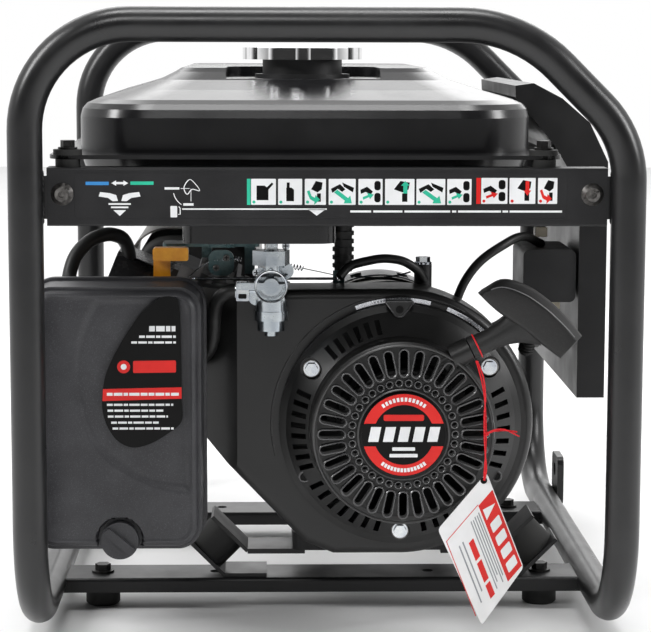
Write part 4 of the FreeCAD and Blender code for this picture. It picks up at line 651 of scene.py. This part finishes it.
def card_tag():
    """White card with a red bar down one side, red headings and thin rules where text would be."""
    card = plate(rounded_polygon(TAG_CORNERS, 3.2), TAG_Y - 0.4, 0.8)
    made = piece("tag_card", [card], "card", body="hang_tag", bevel=0.15)
    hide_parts("hang_tag")
    y = TAG_Y - 0.5
    red = [plate(tag_quad(0.70, 0.985, 0.17, 0.97), y, PRINT)]
    for v0, v1 in ((0.36, 0.55), (0.58, 0.78), (0.81, 0.95)):
        red.append(plate(tag_quad(0.36, 0.45, v0, v1), y, PRINT))
    red.append(plate(tag_quad(0.05, 0.062, 0.16, 0.95), y, PRINT))
    red.append(plate(tag_quad(0.05, 0.70, 0.155, 0.163), y, PRINT))
    piece("tag_red", red, "ink_red", "hang_tag")
    white = [plate([tag_point(0.74, 0.235), tag_point(0.95, 0.29), tag_point(0.74, 0.345)], y - 0.1, 0.12)]
    for k in range(4):
        v = 0.40 + 0.14 * k
        white.append(plate(rounded_polygon(tag_quad(0.76, 0.94, v, v + 0.095), 1.2), y - 0.1, 0.12))
    piece("tag_white", white, "ink_white", "hang_tag")
    grey = [plate(tag_quad(u, u + 0.018, 0.22 + 0.01 * (k % 2), 0.93 - 0.05 * (k % 3)), y, PRINT) for k,
        u in enumerate((0.50, 0.54, 0.58, 0.62, 0.655))]
    grey += [plate(tag_quad(u, u + 0.022, 0.30, 0.90 - 0.08 * k), y, PRINT) for k,
        u in enumerate((0.20, 0.27))]
    piece("tag_grey", grey, "ink_grey", "hang_tag")
    hole = lifted(disc_outline(*TAG_HOLE, 2.0, 20), y)
    piece("tag_eyelet", [sweep(hole, 0.55, 8, True)], "ink_black_and_painted_shade", "hang_tag", smooth=True)
    piece("tag_hole", [plate(disc_outline(*TAG_HOLE, 1.8, 20), y + 0.02, 0.1)], "ink_black_and_painted_shade",
        "hang_tag")


# ---------------------------------------------------------------- front panel print
PICTOGRAMS = [(-55.4, -37.6), (-36.0, -18.7), (-16.8, -1.6), (0.4, 19.8), (21.8, 39.2), (41.0, 62.2),
    (63.6, 84.4), (85.8, 103.4), (110.4, 129.4), (130.8, 149.6), (151.4, 165.4)]


def sketch(kind, x0, x1, z0, z1, y):
    """Small generic drawings inside a pictogram: a can, a bottle, a hand, a rocker, a knob."""
    w, h = x1 - x0, z1 - z0

    def at(points):
        return plate([(x0 + u * w, z0 + v * h) for u, v in points], y, 0.1)

    if kind == "can":
        return [at([(0.22, 0.18), (0.70, 0.18), (0.70, 0.62), (0.55, 0.74), (0.22, 0.74)]),
            at([(0.68, 0.56), (0.90, 0.80), (0.84, 0.86), (0.62, 0.66)])]
    if kind == "bottle":
        return [at([(0.34, 0.14), (0.66, 0.14), (0.66, 0.58), (0.56, 0.66), (0.34, 0.66)]),
            at(rect(0.36, 0.48, 0.66, 0.86))]
    if kind == "hand":
        return [at([(0.08, 0.62), (0.42, 0.80), (0.62, 0.60), (0.50, 0.50), (0.34, 0.62), (0.14, 0.46)]),
            at([(0.50, 0.86), (0.94, 0.66), (0.90, 0.48), (0.56, 0.70)])]
    if kind == "rocker":
        return [at(round_unit(0.66, 0.92, 0.56, 0.92)), at(round_unit(0.66, 0.92, 0.10, 0.46)),
            at([(0.08, 0.58), (0.36, 0.70), (0.60, 0.52), (0.52, 0.40), (0.30, 0.50), (0.10, 0.42)])]
    return [at([(0.30, 0.60), (0.52, 0.92), (0.84, 0.86), (0.80, 0.60), (0.60, 0.48)]),
        at(rect(0.58, 0.76, 0.12, 0.44))]


def round_unit(u0, u1, v0, v1):
    return round_outline(u0, u1, v0, v1, min(u1 - u0, v1 - v0) * 0.4, 4)


def arrow(kind, x0, x1, z0, z1, y):
    """Arrow that shows how a control moves, drawn inside a pictogram."""
    w, h = x1 - x0, z1 - z0
    shapes = {"turn": [(0.10, 0.52), (0.24, 0.22), (0.46, 0.12), (0.44, 0.00), (0.72, 0.20), (0.50, 0.38),
        (0.48, 0.27), (0.32, 0.34), (0.22, 0.56)], "slide": [(0.20, 0.48), (0.60, 0.16), (0.56, 0.06),
        (0.86, 0.06), (0.80, 0.36), (0.72, 0.26), (0.32, 0.58)], "push": [(0.20, 0.20), (0.44, 0.30),
        (0.48, 0.22), (0.64, 0.40), (0.36, 0.46), (0.40, 0.38), (0.18, 0.30)],
        "up": [(0.62, 0.44), (0.62, 0.74), (0.54, 0.74), (0.69, 0.92), (0.84, 0.74), (0.76, 0.74),
        (0.76, 0.44)], "down": [(0.62, 0.88), (0.62, 0.52), (0.54, 0.52), (0.69, 0.32), (0.84, 0.52),
        (0.76, 0.52), (0.76, 0.88)],}
    return [plate([(x0 + u * w, z0 + v * h) for u, v in shapes[kind]], y, 0.1)]


def panel_print():
    """Printed strip: textured field, eleven pictograms, a rule with a pointer and small marks, no words."""
    y = PANEL_LOW.y / MM
    z_low, z_high = PANEL_LOW.z / MM, PANEL_HIGH.z / MM
    field = round_outline(-182, 172.5, z_low + 5.8, z_high - 3.6, 3)
    piece("panel_field", [plate(field, y - 0.25, 0.35)], "panel_paint", bevel=0.1)
    y -= 0.3
    squares, dark, green, red = [], [], [], []
    kinds = ("can", "bottle", "turn", "hand", "rocker", "turn", "hand", "rocker", "rocker", "turn", "turn")
    moves = (None, None, "turn", "slide", "push", "up", "slide", "push", "push", "down", "turn")
    z0, z1 = z_high - 26.5, z_high - 7.8
    for i, (x0, x1) in enumerate(PICTOGRAMS):
        lift = 0.8 if i > 7 else 0.0
        squares.append(plate(round_outline(x0, x1, z0 + lift, z1 + lift, 0.5, 3), y, PRINT))
        dark += sketch(kinds[i], x0, x1, z0 + lift, z1 + lift, y - 0.06)
        bucket = red if i > 7 else green
        if moves[i]:
            bucket += arrow(moves[i], x0, x1, z0 + lift, z1 + lift, y - 0.10)
        bucket.append(plate(disc_outline(x0 + 2.0, z0 + lift + 2.0, 1.1, 14), y - 0.10, 0.1))
    green.append(plate(rect(-58.4, -55.8, z0, z1), y, PRINT))
    red.append(plate(rect(106.9, 110.0, z0 + 0.8, z1 + 0.8), y, PRINT))
    rule = z_low + 12.4
    squares.append(plate(rect(-105, -1.0, rule - 0.5, rule + 0.5), y, PRINT))
    squares.append(plate([(-14.5, rule), (-1.8, rule), (-8.2, rule - 4.8)], y, PRINT))
    x = 16.0
    for k, length in enumerate((15, 21, 33, 3, 31, 4, 38)):
        squares.append(plate(rect(x, x + length, rule - 2.4, rule - 0.9), y, PRINT))
        x += length + 1.6 - 0.1 * k
    squares += control_marks(y, z_high)
    green.append(plate(rect(-142.0, -125.4, z_high - 12.2, z_high - 9.8), y, PRINT))
    blue = [plate(rect(-174.1, -157.5, z_high - 12.4, z_high - 10.0), y, PRINT)]
    piece("panel_print_white", squares, "ink_white")
    piece("panel_print_dark", dark, "ink_black_and_painted_shade")
    piece("panel_print_green", green, "ink_green")
    piece("panel_print_red", red, "ink_red")
    piece("panel_print_blue", blue, "ink_blue")


def control_marks(y, z_high):
    """Double arrow, lever sketch and tap sketch at the left of the strip."""
    z = z_high - 11.0
    marks = [plate([(-155.7, z), (-152.2, z + 2.0), (-152.2, z + 0.8), (-147.0, z + 0.8), (-147.0, z + 2.0),
        (-143.6, z), (-147.0, z - 2.0), (-147.0, z - 0.8), (-152.2, z - 0.8), (-152.2, z - 2.0)], y, 0.12)]
    cx = -149.8
    for sign in (-1, 1):
        marks.append(plate([(cx + sign * 1.2, z - 12.8), (cx + sign * 2.4, z - 8.6),
            (cx + sign * 7.0, z - 7.2), (cx + sign * 14.0, z - 6.4), (cx + sign * 15.0, z - 9.6),
            (cx + sign * 8.4, z - 10.6), (cx + sign * 5.0, z - 13.0)], y, PRINT))
    for k, half in enumerate((8.0, 6.2)):
        marks.append(plate(rect(-149.8 - half, -149.8 + half, z - 15.6 - 2.4 * k, z - 14.4 - 2.4 * k), y,
            PRINT))
    marks.append(plate([(-154.4, z - 19.4), (-145.2, z - 19.4), (-149.8, z - 23.6)], y, PRINT))
    marks.append(plate(rect(-117.5, -106.9, z - 4.6, z - 2.9), y, PRINT))
    marks.append(plate(rect(-104.2, -96.8, z - 16.2, z - 14.4), y, PRINT))
    flange = lifted(smooth_outline([(-99.6, z + 2.6), (-95.4, z - 0.6), (-92.4, z - 5.4), (-97.8, z - 4.4),
        (-101.4, z - 8.0), (-103.6, z - 3.0)], 5), y)
    marks.append(sweep(flange, 0.35, 4, True))
    swing = lifted(arc_points(-99.0, z - 5.0, 12.2, 190, 238, 10), y)
    marks.append(sweep(swing, 0.4, 4))
    marks.append(sweep([(-98.6, y, z - 4.0), (-98.6, y, z - 13.0)], 0.3, 4))
    marks.append(sweep([(-106.0, y, z - 3.8), (-99.6, y, z - 3.8)], 0.3, 4))
    pump = round_outline(-113.4, -108.6, z - 24.6, z - 16.4, 0.6)
    marks.append(plate(pump, y, PRINT))
    marks.append(sweep([(-108.0, y, z - 22.4), (-106.4, y, z - 22.4), (-106.4, y, z - 18.0),
        (-107.4, y, z - 16.8)], 0.4, 4))
    return marks


# ---------------------------------------------------------------- air cleaner cover
KNOB = (-154.0, 82.0)
KNOB_RECESS = 17.0
SPINE_END, LEAF_SINK, COVER_CROWN, KNOB_DISH, COVER_WALL = 65, 3.4, 0.7, 5.2, 2.0


def smooth_step(a, b, t):
    t = max(0.0, min(1.0, (t - a) / (b - a)))
    return t * t * (3 - 2 * t)


def swoosh(x, z):
    """Signed distance, in mm, from the curved crease of the cover: negative inside the leaf."""
    cx, cz = -102.0, 186.0
    dx, dz = x - cx, z - cz
    rx = 82.0 if dz > 0 else 80.0
    rz = 104.0 if dz > 0 else 66.0
    lean = dx + 0.16 * dz if dz > 0 else dx + 0.05 * dz
    return (hypot(lean / rx, dz / rz) - 1) * 66


def divided(outline, corner_points, pieces=70):
    """The same outline with its four straight sides cut into short equal lengths."""
    out = []
    for i, point in enumerate(outline):
        out.append(point)
        if i % corner_points == corner_points - 1:
            a, b = Vector(point), Vector(outline[(i + 1) % len(outline)])
            out += [tuple(a.lerp(b, k / pieces)) for k in range(1, pieces)]
    return out


def air_cleaner_cover():
    """Moulded shell: rolled lip, proud rim, and a leaf-shaped field that is sunk into the face."""
    x0, x1 = COVER_LOW.x / MM, COVER_HIGH.x / MM
    z0, z1 = COVER_LOW.z / MM, COVER_HIGH.z / MM
    y_front, y_back = COVER_LOW.y / MM, COVER_HIGH.y / MM
    rings = [(0.2, y_back), (0.0, y_back - 1.0), (0.0, y_back - 8.0), (1.0, y_back - 8.8),
        (2.2, y_back - 9.0), (2.4, y_back - 10.0), (3.0, y_front + 9.5), (3.2, y_front + 7.4),
        (4.4, y_front + 6.9), (5.4, y_front + 6.9), (5.8, y_front + 6.0), (6.2, y_front + 3.6),
        (7.6, y_front + 1.2), (9.8, y_front + 0.2)]
    corner, steps = 20.0, 14
    outlines = []
    for inset, y in rings:
        outlines.append(lifted(divided(round_outline(x0 + inset, x1 - inset, z0 + inset, z1 - inset,
            corner - inset * 0.75, steps), steps + 1), y))
    rim = outlines[-1]
    spine_low, spine_high = z0 + SPINE_END, z1 - SPINE_END
    mid_x = (x0 + x1) / 2
    inner_rings = 44
    for k in range(1, inner_rings + 1):
        t = k / inner_rings
        ring = []
        for px, _, pz in rim:
            tx, tz = mid_x, max(spine_low, min(spine_high, pz))
            qx, qz = px + (tx - px) * t, pz + (tz - pz) * t
            near = swoosh(qx, qz)
            sink = LEAF_SINK * (1 - smooth_step(-2.6, 2.0, near)) * smooth_step(-0.02, 0.10, t)
            crown = COVER_CROWN * smooth_step(0.0, 0.5, t)
            knob_gap = hypot(qx - KNOB[0], qz - KNOB[1])
            dish = KNOB_DISH * (1 - smooth_step(KNOB_RECESS - 0.3, KNOB_RECESS + 0.7, knob_gap))
            ring.append((qx, y_front + 0.9 - crown + sink * 0.7 + dish, qz))
        outlines.append(ring)
    n = len(rim)
    verts = []
    for x, y, z in (v for ring in outlines for v in ring):
        if hypot(x - KNOB[0], z - KNOB[1]) < KNOB_RECESS:
            y = max(y, y_front + 5.8)
        verts.append((x, y, z))
    faces = []
    for r in range(len(outlines) - 1):
        for i in range(n):
            a, b = r * n + i, r * n + (i + 1) % n
            faces.append([a, b, b + n, a + n])
    made = piece("air_cleaner_cover", [(verts, faces)], "grey_plastic", body="air_cover", smooth=True,
        weld=True)
    wall = made.modifiers.new("wall", "SOLIDIFY")
    wall.thickness = COVER_WALL * MM
    wall.offset = -1.0
    return made


def cover_label():
    """Glossy leaf label with a red band; plain white bars stand where words would be."""
    leaf = smooth_outline([(-122.4, 264.6), (-113.0, 265.0), (-108.6, 258.0), (-107.6, 225.0),
        (-107.3, 190.0), (-107.4, 172.4), (-118.7, 162.4), (-131.0, 155.4), (-143.7, 152.6), (-154.6, 157.4),
        (-161.9, 167.4), (-165.8, 179.6), (-166.0, 191.2), (-163.7, 206.0), (-158.2, 219.6), (-150.3, 234.0),
        (-143.4, 244.4), (-135.6, 254.6)], 6)
    y = COVER_LOW.y / MM - 0.1
    piece("cover_label", [plate(leaf, y, 2.4)], "ink_black_and_painted_shade", "air_cover")
    piece("cover_label_band", [plate([(-165.9, 187.6), (-107.3, 189.4), (-107.3, 197.9), (-165.4, 196.6)],
        y - 0.12, 0.3)], "ink_red", "air_cover")
    red = plate(rounded_polygon([(-143.0, 208.6), (-111.4, 209.0), (-111.4, 218.0), (-143.0, 217.6)], 1.0),
        y - 0.12, 0.3)
    emblem = plate(disc_outline(-150.0, 213.2, 4.8, 24), y - 0.12, 0.3)
    piece("cover_label_red", [red, emblem], "ink_red", "air_cover")
    bars = [(-131.0, -111.6, 239.6, 243.6), (-138.4, -111.4, 234.8, 236.6), (-144.2, -111.4, 230.6, 232.2),
        (-162.6, -109.4, 191.6, 193.8), (-162.6, -113.6, 184.0, 185.6), (-162.2, -121.0, 179.6, 181.2),
        (-162.0, -117.6, 175.2, 176.8), (-159.6, -123.6, 170.6, 172.2), (-158.6, -113.4, 166.2, 167.8)]
    white = []
    for left, right, low, high in bars:
        white += [plate(rect(x, end, low, high), y - 0.18, 0.2) for x,
            end in dashes(left, right, (4.2, 6.4, 3.2, 7.6, 5.0), 0.9)]
    white.append(plate(disc_outline(-150.0, 213.2, 2.2, 18), y - 0.2, 0.2))
    piece("cover_label_white", white, "ink_white", "air_cover")


# ---------------------------------------------------------------- starter handle and its rope
EYELET = Vector((107.0, -247.0, 225.0))
PULL = Vector((cos(radians(26)), 0, sin(radians(26))))
BAR_TOP = [(115.5, 268.6), (131.0, 277.0), (149.0, 272.6), (165.0, 262.2), (178.6, 249.6), (190.2, 235.4)]
BAR_UNDER = [(113.0, 266.6), (123.6, 256.4), (134.6, 248.0), (146.4, 240.0), (160.0, 229.0), (174.2, 218.4)]
BAR_RINGS = [(-236.0, 0.16, 0.12, 0.030), (-237.6, 0.05, 0.04, 0.010), (-240.0, 0.0, 0.0, 0.0),
    (-250.0, 0.0, 0.0, 0.0), (-253.0, 0.06, 0.01, 0.004), (-256.6, 0.21, 0.03, 0.012),
    (-257.7, 0.25, 0.07, 0.022), (-258.0, 0.31, 0.12, 0.036)]
STEM = [(0.3, 8.0, 8.0), (0.9, 9.0, 9.0), (4.5, 9.2, 9.0), (8.0, 8.3, 8.3), (18.0, 8.4, 8.2),
    (28.0, 9.6, 8.8), (36.0, 12.2, 9.4), (43.0, 16.5, 9.6), (49.0, 21.0, 9.2)]


def along_curve(points, t):
    path = curved([(x, 0, z) for x, z in points], 8)
    place = max(0.0, min(1.0, t)) * (len(path) - 1)
    i = min(int(place), len(path) - 2)
    p = path[i].lerp(path[i + 1], place - i)
    return Vector((p.x, p.z))


def starter_handle():
    """Bowed crossbar with a sloping top face, on a neck that flares into it; a pale line along the top edge
    is a painted highlight.
    """
    count = 26
    verts, faces = [], []
    ridge_highlight = []
    for y, top_in, under_in, end_in in BAR_RINGS:
        ring_top, ring_under = [], []
        for i in range(count + 1):
            t = end_in + (1 - 2 * end_in) * i / count
            a, b = along_curve(BAR_TOP, t), along_curve(BAR_UNDER, t)
            ring_top.append(a.lerp(b, top_in))
            ring_under.append(b.lerp(a, under_in))
        if y == BAR_RINGS[5][0]:
            ridge_highlight = [(p.x, y - 0.2, p.y) for p in ring_top]
        verts += [(p.x, y, p.y) for p in ring_top + ring_under[::-1]]
    n = 2 * (count + 1)
    for k in range(len(BAR_RINGS) - 1):
        faces += [[k * n + i, k * n + (i + 1) % n, (k + 1) * n + (i + 1) % n, (k + 1) * n + i]
            for i in range(n)]
    last = (len(BAR_RINGS) - 1) * n
    for base in (0, last):
        faces += [[base + i, base + i + 1, base + n - 2 - i, base + n - 1 - i] for i in range(count)]
    side = Vector((-PULL.z, 0, PULL.x))
    m = 28
    neck, neck_faces = [], []
    for reach, wide, deep in STEM:
        for k in range(m):
            a = 2 * pi * k / m
            neck.append(tuple(EYELET + PULL * reach + side * (wide * cos(a))
                + Vector((0, 1, 0)) * (deep * sin(a))))
    for j in range(len(STEM) - 1):
        neck_faces += [[j * m + i, j * m + (i + 1) % m, (j + 1) * m + (i + 1) % m, (j + 1) * m + i]
            for i in range(m)]
    neck_faces += [list(range(m)), [(len(STEM) - 1) * m + i for i in range(m)]]
    made = piece("starter_grip", [(verts, faces), (neck, neck_faces)], "grip_plastic", body="starter_handle",
        smooth=True)
    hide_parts("starter_handle")
    # pale line along the top edge: painted highlight
    piece("starter_grip_ridge_highlight", [sweep(ridge_highlight[2:-1], 0.45, 6)], "painted_highlight_line", "starter_handle",
        smooth=True)


def starter_rope():
    """Straight rope from inside the recoil housing to the handle."""
    count = 60
    path = [EYELET + PULL * (-10 + 16.0 * i / count) for i in range(count + 1)]
    mesh_verts, mesh_faces = sweep(path, 2.2, 10)
    mesh = bpy.data.meshes.new("starter_rope")
    mesh.from_pydata([Vector(v) * MM for v in mesh_verts], [], mesh_faces)
    mesh.materials.append(FINISH["rubber"])
    mesh.shade_smooth()
    rope = placed("starter_rope", mesh)
    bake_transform(rope)


# ---------------------------------------------------------------- small fittings near the carburettor and tap
TAP_X, TAP_Y, TAP_LEVER_Z = -41, -221, 271


def cross_screw(x, y, z, r):
    """Round screw head facing -Y with a cross recess, drawn as black bars of painted shade."""
    head = [plate(disc_outline(x, z, r, 20), y, 1.4)]
    # black bars in the cross recess: painted shade
    slot_shade = [plate(rect(x - r * 0.7, x + r * 0.7, z - 0.4, z + 0.4), y - 0.05, 0.1),
        plate(rect(x - 0.4, x + 0.4, z - r * 0.7, z + r * 0.7), y - 0.05, 0.1)]
    return head, slot_shade


def tap_fittings():
    """Screws, bands, lever rim and hose clip on the fuel tap; the black screw slots and two dark patches on
    the clip are painted shade.
    """
    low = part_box("fuel_tap")[0]
    front, z0 = low.y / MM, low.z / MM
    heads, slot_shades = [], []
    for dx, dz in ((11.0, 49.0), (-11.0, 29.0)):
        head, slot_shade = cross_screw(TAP_X + dx, TAP_Y - 3.6, z0 + dz, 3.0)
        heads += head
        slot_shades += slot_shade
    bands = []
    for height, radius, thick in ((27.0, 12.2, 0.9), (21.6, 12.4, 0.8), (6.0, 8.0, 0.7), (2.0, 6.4, 0.6)):
        ring = [(px, py, z0 + height) for px, py in disc_outline(TAP_X, TAP_Y, radius, 36)]
        bands.append(sweep(ring, thick, 6, True))
    rim = lifted(disc_outline(TAP_X, TAP_LEVER_Z, 11.6, 40), front - 0.1)
    bands.append(sweep(rim, 0.8, 6, True))
    piece("tap_bands", heads + bands, "zinc", smooth=True)
    clip = [plate(round_outline(-67.5, -57.5, 258.6, 273.6, 1.2), -227.2, 3.0)]
    piece("tap_clip", clip, "zinc", bevel=0.4)
    # black screw slots and two dark patches on the clip: painted shade
    dark = slot_shades + [plate(round_outline(-65.6, -59.4, z, z + 3.6, 0.8), -227.4, 0.4) for z in (260.6, 268.0)]
    piece("tap_painted_shade", dark, "ink_black_and_painted_shade")


def carburettor_fittings():
    """Throttle and choke springs, link wires and screws between the carburettor and the governor; the black
    screw slots are painted shade.
    """
    coils = [sweep(spring_path((-52, -152, 281), (-16, -155, 276), 2.0, 15), 0.4, 6),
        sweep(spring_path((-88, -150, 282), (-64, -151, 283), 1.7, 11), 0.35, 6)]
    coils.append(sweep(curved([(-16, -155, 276), (-6, -156, 274), (8, -156, 271)]), 0.4, 6))
    coils.append(sweep(curved([(-118, -176, 262), (-106, -172, 270), (-98, -160, 276), (-88, -150, 282)]),
        0.5, 6))
    coils.append(sweep(curved([(-112, -180, 256), (-100, -178, 252), (-92, -170, 258), (-86, -160, 266)]),
        0.5, 6))
    coils.append(sweep(curved([(24, -159.5, 270.2), (32, -159.5, 269.6), (44, -159, 269.0), (58, -160, 271.0),
        (68, -159, 273.6)]), 0.75, 6))
    piece("link_wires", coils, "zinc", smooth=True)
    screws, slot_shades = [], []
    for x, z in ((-121, 252), (-139, 252), (-120, 226), (-141, 226), (-76, 284), (-84, 276)):
        head, slot_shade = cross_screw(x, -187.4 if x < -100 else -153.4, z, 2.6)
        screws += head
        slot_shades += slot_shade
    piece("carburettor_screws", screws, "bright_steel", bevel=0.3)
    # black screw slots: painted shade
    piece("carburettor_screw_slot_shade", slot_shades, "ink_black_and_painted_shade")


def harness():
    """Black loom from the control box to the alternator, with a corrugated sleeve and two plugs."""
    runs = [[(186, -70, 252), (176, -66, 236), (160, -56, 226), (150, -30, 214), (146, 10, 206),
        (138, 60, 196), (120, 108, 190)], [(178, -96, 290), (160, -120, 298), (142, -136, 292),
        (124, -142, 280), (112, -142, 264), (104, -140, 244)], [(192, -90, 250), (184, -96, 232),
        (178, -84, 216), (182, -40, 200), (190, 20, 196), (196, 60, 204)]]
    looms = [sweep(curved(run), thick, 10) for run, thick in zip(runs, (4.6, 3.6, 2.8))]
    piece("harness", looms, "hose_rubber", smooth=True)
    path = curved([(166, -132, 246), (167, -130, 232), (166, -126, 218), (163, -120, 204)], 6)
    ribs = [sweep(path, 4.6, 12)]
    for i in range(1, len(path) - 1):
        tangent = (path[i + 1] - path[i - 1]).normalized()
        side = tangent.orthogonal().normalized()
        other = tangent.cross(side)
        ring = [path[i] + (side * cos(2 * pi * k / 20) + other * sin(2 * pi * k / 20)) * 5.6
            for k in range(20)]
        ribs.append(sweep(ring, 0.9, 6, True))
    piece("corrugated_sleeve", ribs, "rubber", smooth=True)
    plugs = [plate(round_outline(178, 192, 238, 246, 1.5), -112, 12),
        plate(round_outline(172, 182, 296, 304, 1.5), -104, 12)]
    piece("loom_plugs", plugs, "beige_plastic", bevel=0.8)


# ---------------------------------------------------------------- control panel, seen from the right
def side_plate(outline, x_front, thick):
    """Flat sheet facing +X: outline is a list of (y, z)."""
    verts, faces = plate(outline, 0.0, thick)
    return [(x_front - y, px, z) for px, y, z in verts], faces


def control_panel_marks():
    """Dial with scale and needle, rocker marks, and printed rules beside the fittings."""
    x = METER_HIGH.x / MM
    y, z = (METER_LOW.y + METER_HIGH.y) / 2 / MM, (METER_LOW.z + METER_HIGH.z) / 2 / MM
    piece("meter_dial", [side_plate(round_outline(y - 21, y + 21, z - 13, z + 13, 2), x + 0.3, 0.6)],
        "ink_white")
    ticks = []
    for k in range(13):
        a = radians(40 + 100 * k / 12)
        inner, outer = (14.5, 18.0) if k % 3 == 0 else (15.8, 18.0)
        c, s_ = cos(a), sin(a)
        p = [(y + c * inner - s_ * 0.25, z - 9 + s_ * inner + c * 0.25),
            (y + c * outer - s_ * 0.25, z - 9 + s_ * outer + c * 0.25),
            (y + c * outer + s_ * 0.25, z - 9 + s_ * outer - c * 0.25),
            (y + c * inner + s_ * 0.25, z - 9 + s_ * inner - c * 0.25)]
        ticks.append(side_plate(p, x + 0.45, 0.2))
    ticks.append(side_plate(round_outline(y - 21, y + 21, z - 13, z - 9.5, 1), x + 0.5, 0.2))
    ticks.append(side_plate(disc_outline(y, z - 9, 3.2), x + 0.8, 0.5))
    piece("meter_scale", ticks, "ink_black_and_painted_shade")
    needle = side_plate([(y - 0.6, z - 8), (y + 0.6, z - 8), (y - 7.2, z + 6.6)], x + 0.9, 0.2)
    piece("meter_needle", [needle], "ink_red")
    fx = FACE_HIGH.x / MM + 0.02
    marks = []
    for cy, cz, half in ((y, z - 24, 12), (66, 322, 9), (66, 254, 8), (66, 222, 10), (-31, 194, 40),
            (-31, 334, 16)):
        marks += [side_plate(rect(left, end, cz - 0.9, cz + 0.9), fx + 0.15, 0.2) for left,
            end in dashes(cy - half, cy + half, (3.6, 2.2, 4.4, 2.8), 0.8)]
    frame_line = rect(FACE_LOW.y / MM + 5, FACE_HIGH.y / MM - 5, FACE_LOW.z / MM + 5, FACE_HIGH.z / MM - 5)
    marks.append(sweep([(fx + 0.1, py, pz) for py, pz in rounded_polygon(frame_line, 5)], 0.35, 4, True))
    piece("panel_marks", marks, "ink_white")
    contacts = [side_plate(disc_outline(cy + dy, 232, 2.4, 16), FACE_LOW.x / MM - 6.4, 0.4)
        for cy in (-62, 0) for dy in (-9.5, 9.5)]
    piece("socket_contacts", contacts, "copper")


# ---------------------------------------------------------------- frame welds
def welds():
    """Weld beads where the panels and crossmembers meet the tubes."""
    beads = []
    for y in (PANEL_LOW.y / MM, -PANEL_LOW.y / MM):
        face = 0.6 if y < 0 else -0.6
        for x in (-205.5, 205.5):
            for k in range(9):
                z = PANEL_LOW.z / MM + 4 + 4.2 * k
                ring = [(x + 1.0 * cos(t), y + face, z + 2.3 * sin(t))
                    for t in (2 * pi * i / 10 for i in range(10))]
                beads.append(sweep(ring, 0.8, 5, True))
    piece("weld_beads", beads, "tube_paint", smooth=True)


# ---------------------------------------------------------------- build
make_camera()
make_studio()
paint_packed_nodes()
string = string_curve()
string_extra = string_pieces()
neck_loop()
card_tag()
recoil_rims()
vee_boss()
bolt_faces()
shroud_stickers()
badge()
starter_handle()
starter_rope()
tap_fittings()
carburettor_fittings()
harness()
control_panel_marks()
welds()
panel_print()
cover_shell = air_cleaner_cover()
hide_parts("air_cover")
cover_label()

bpy.context.view_layer.update()
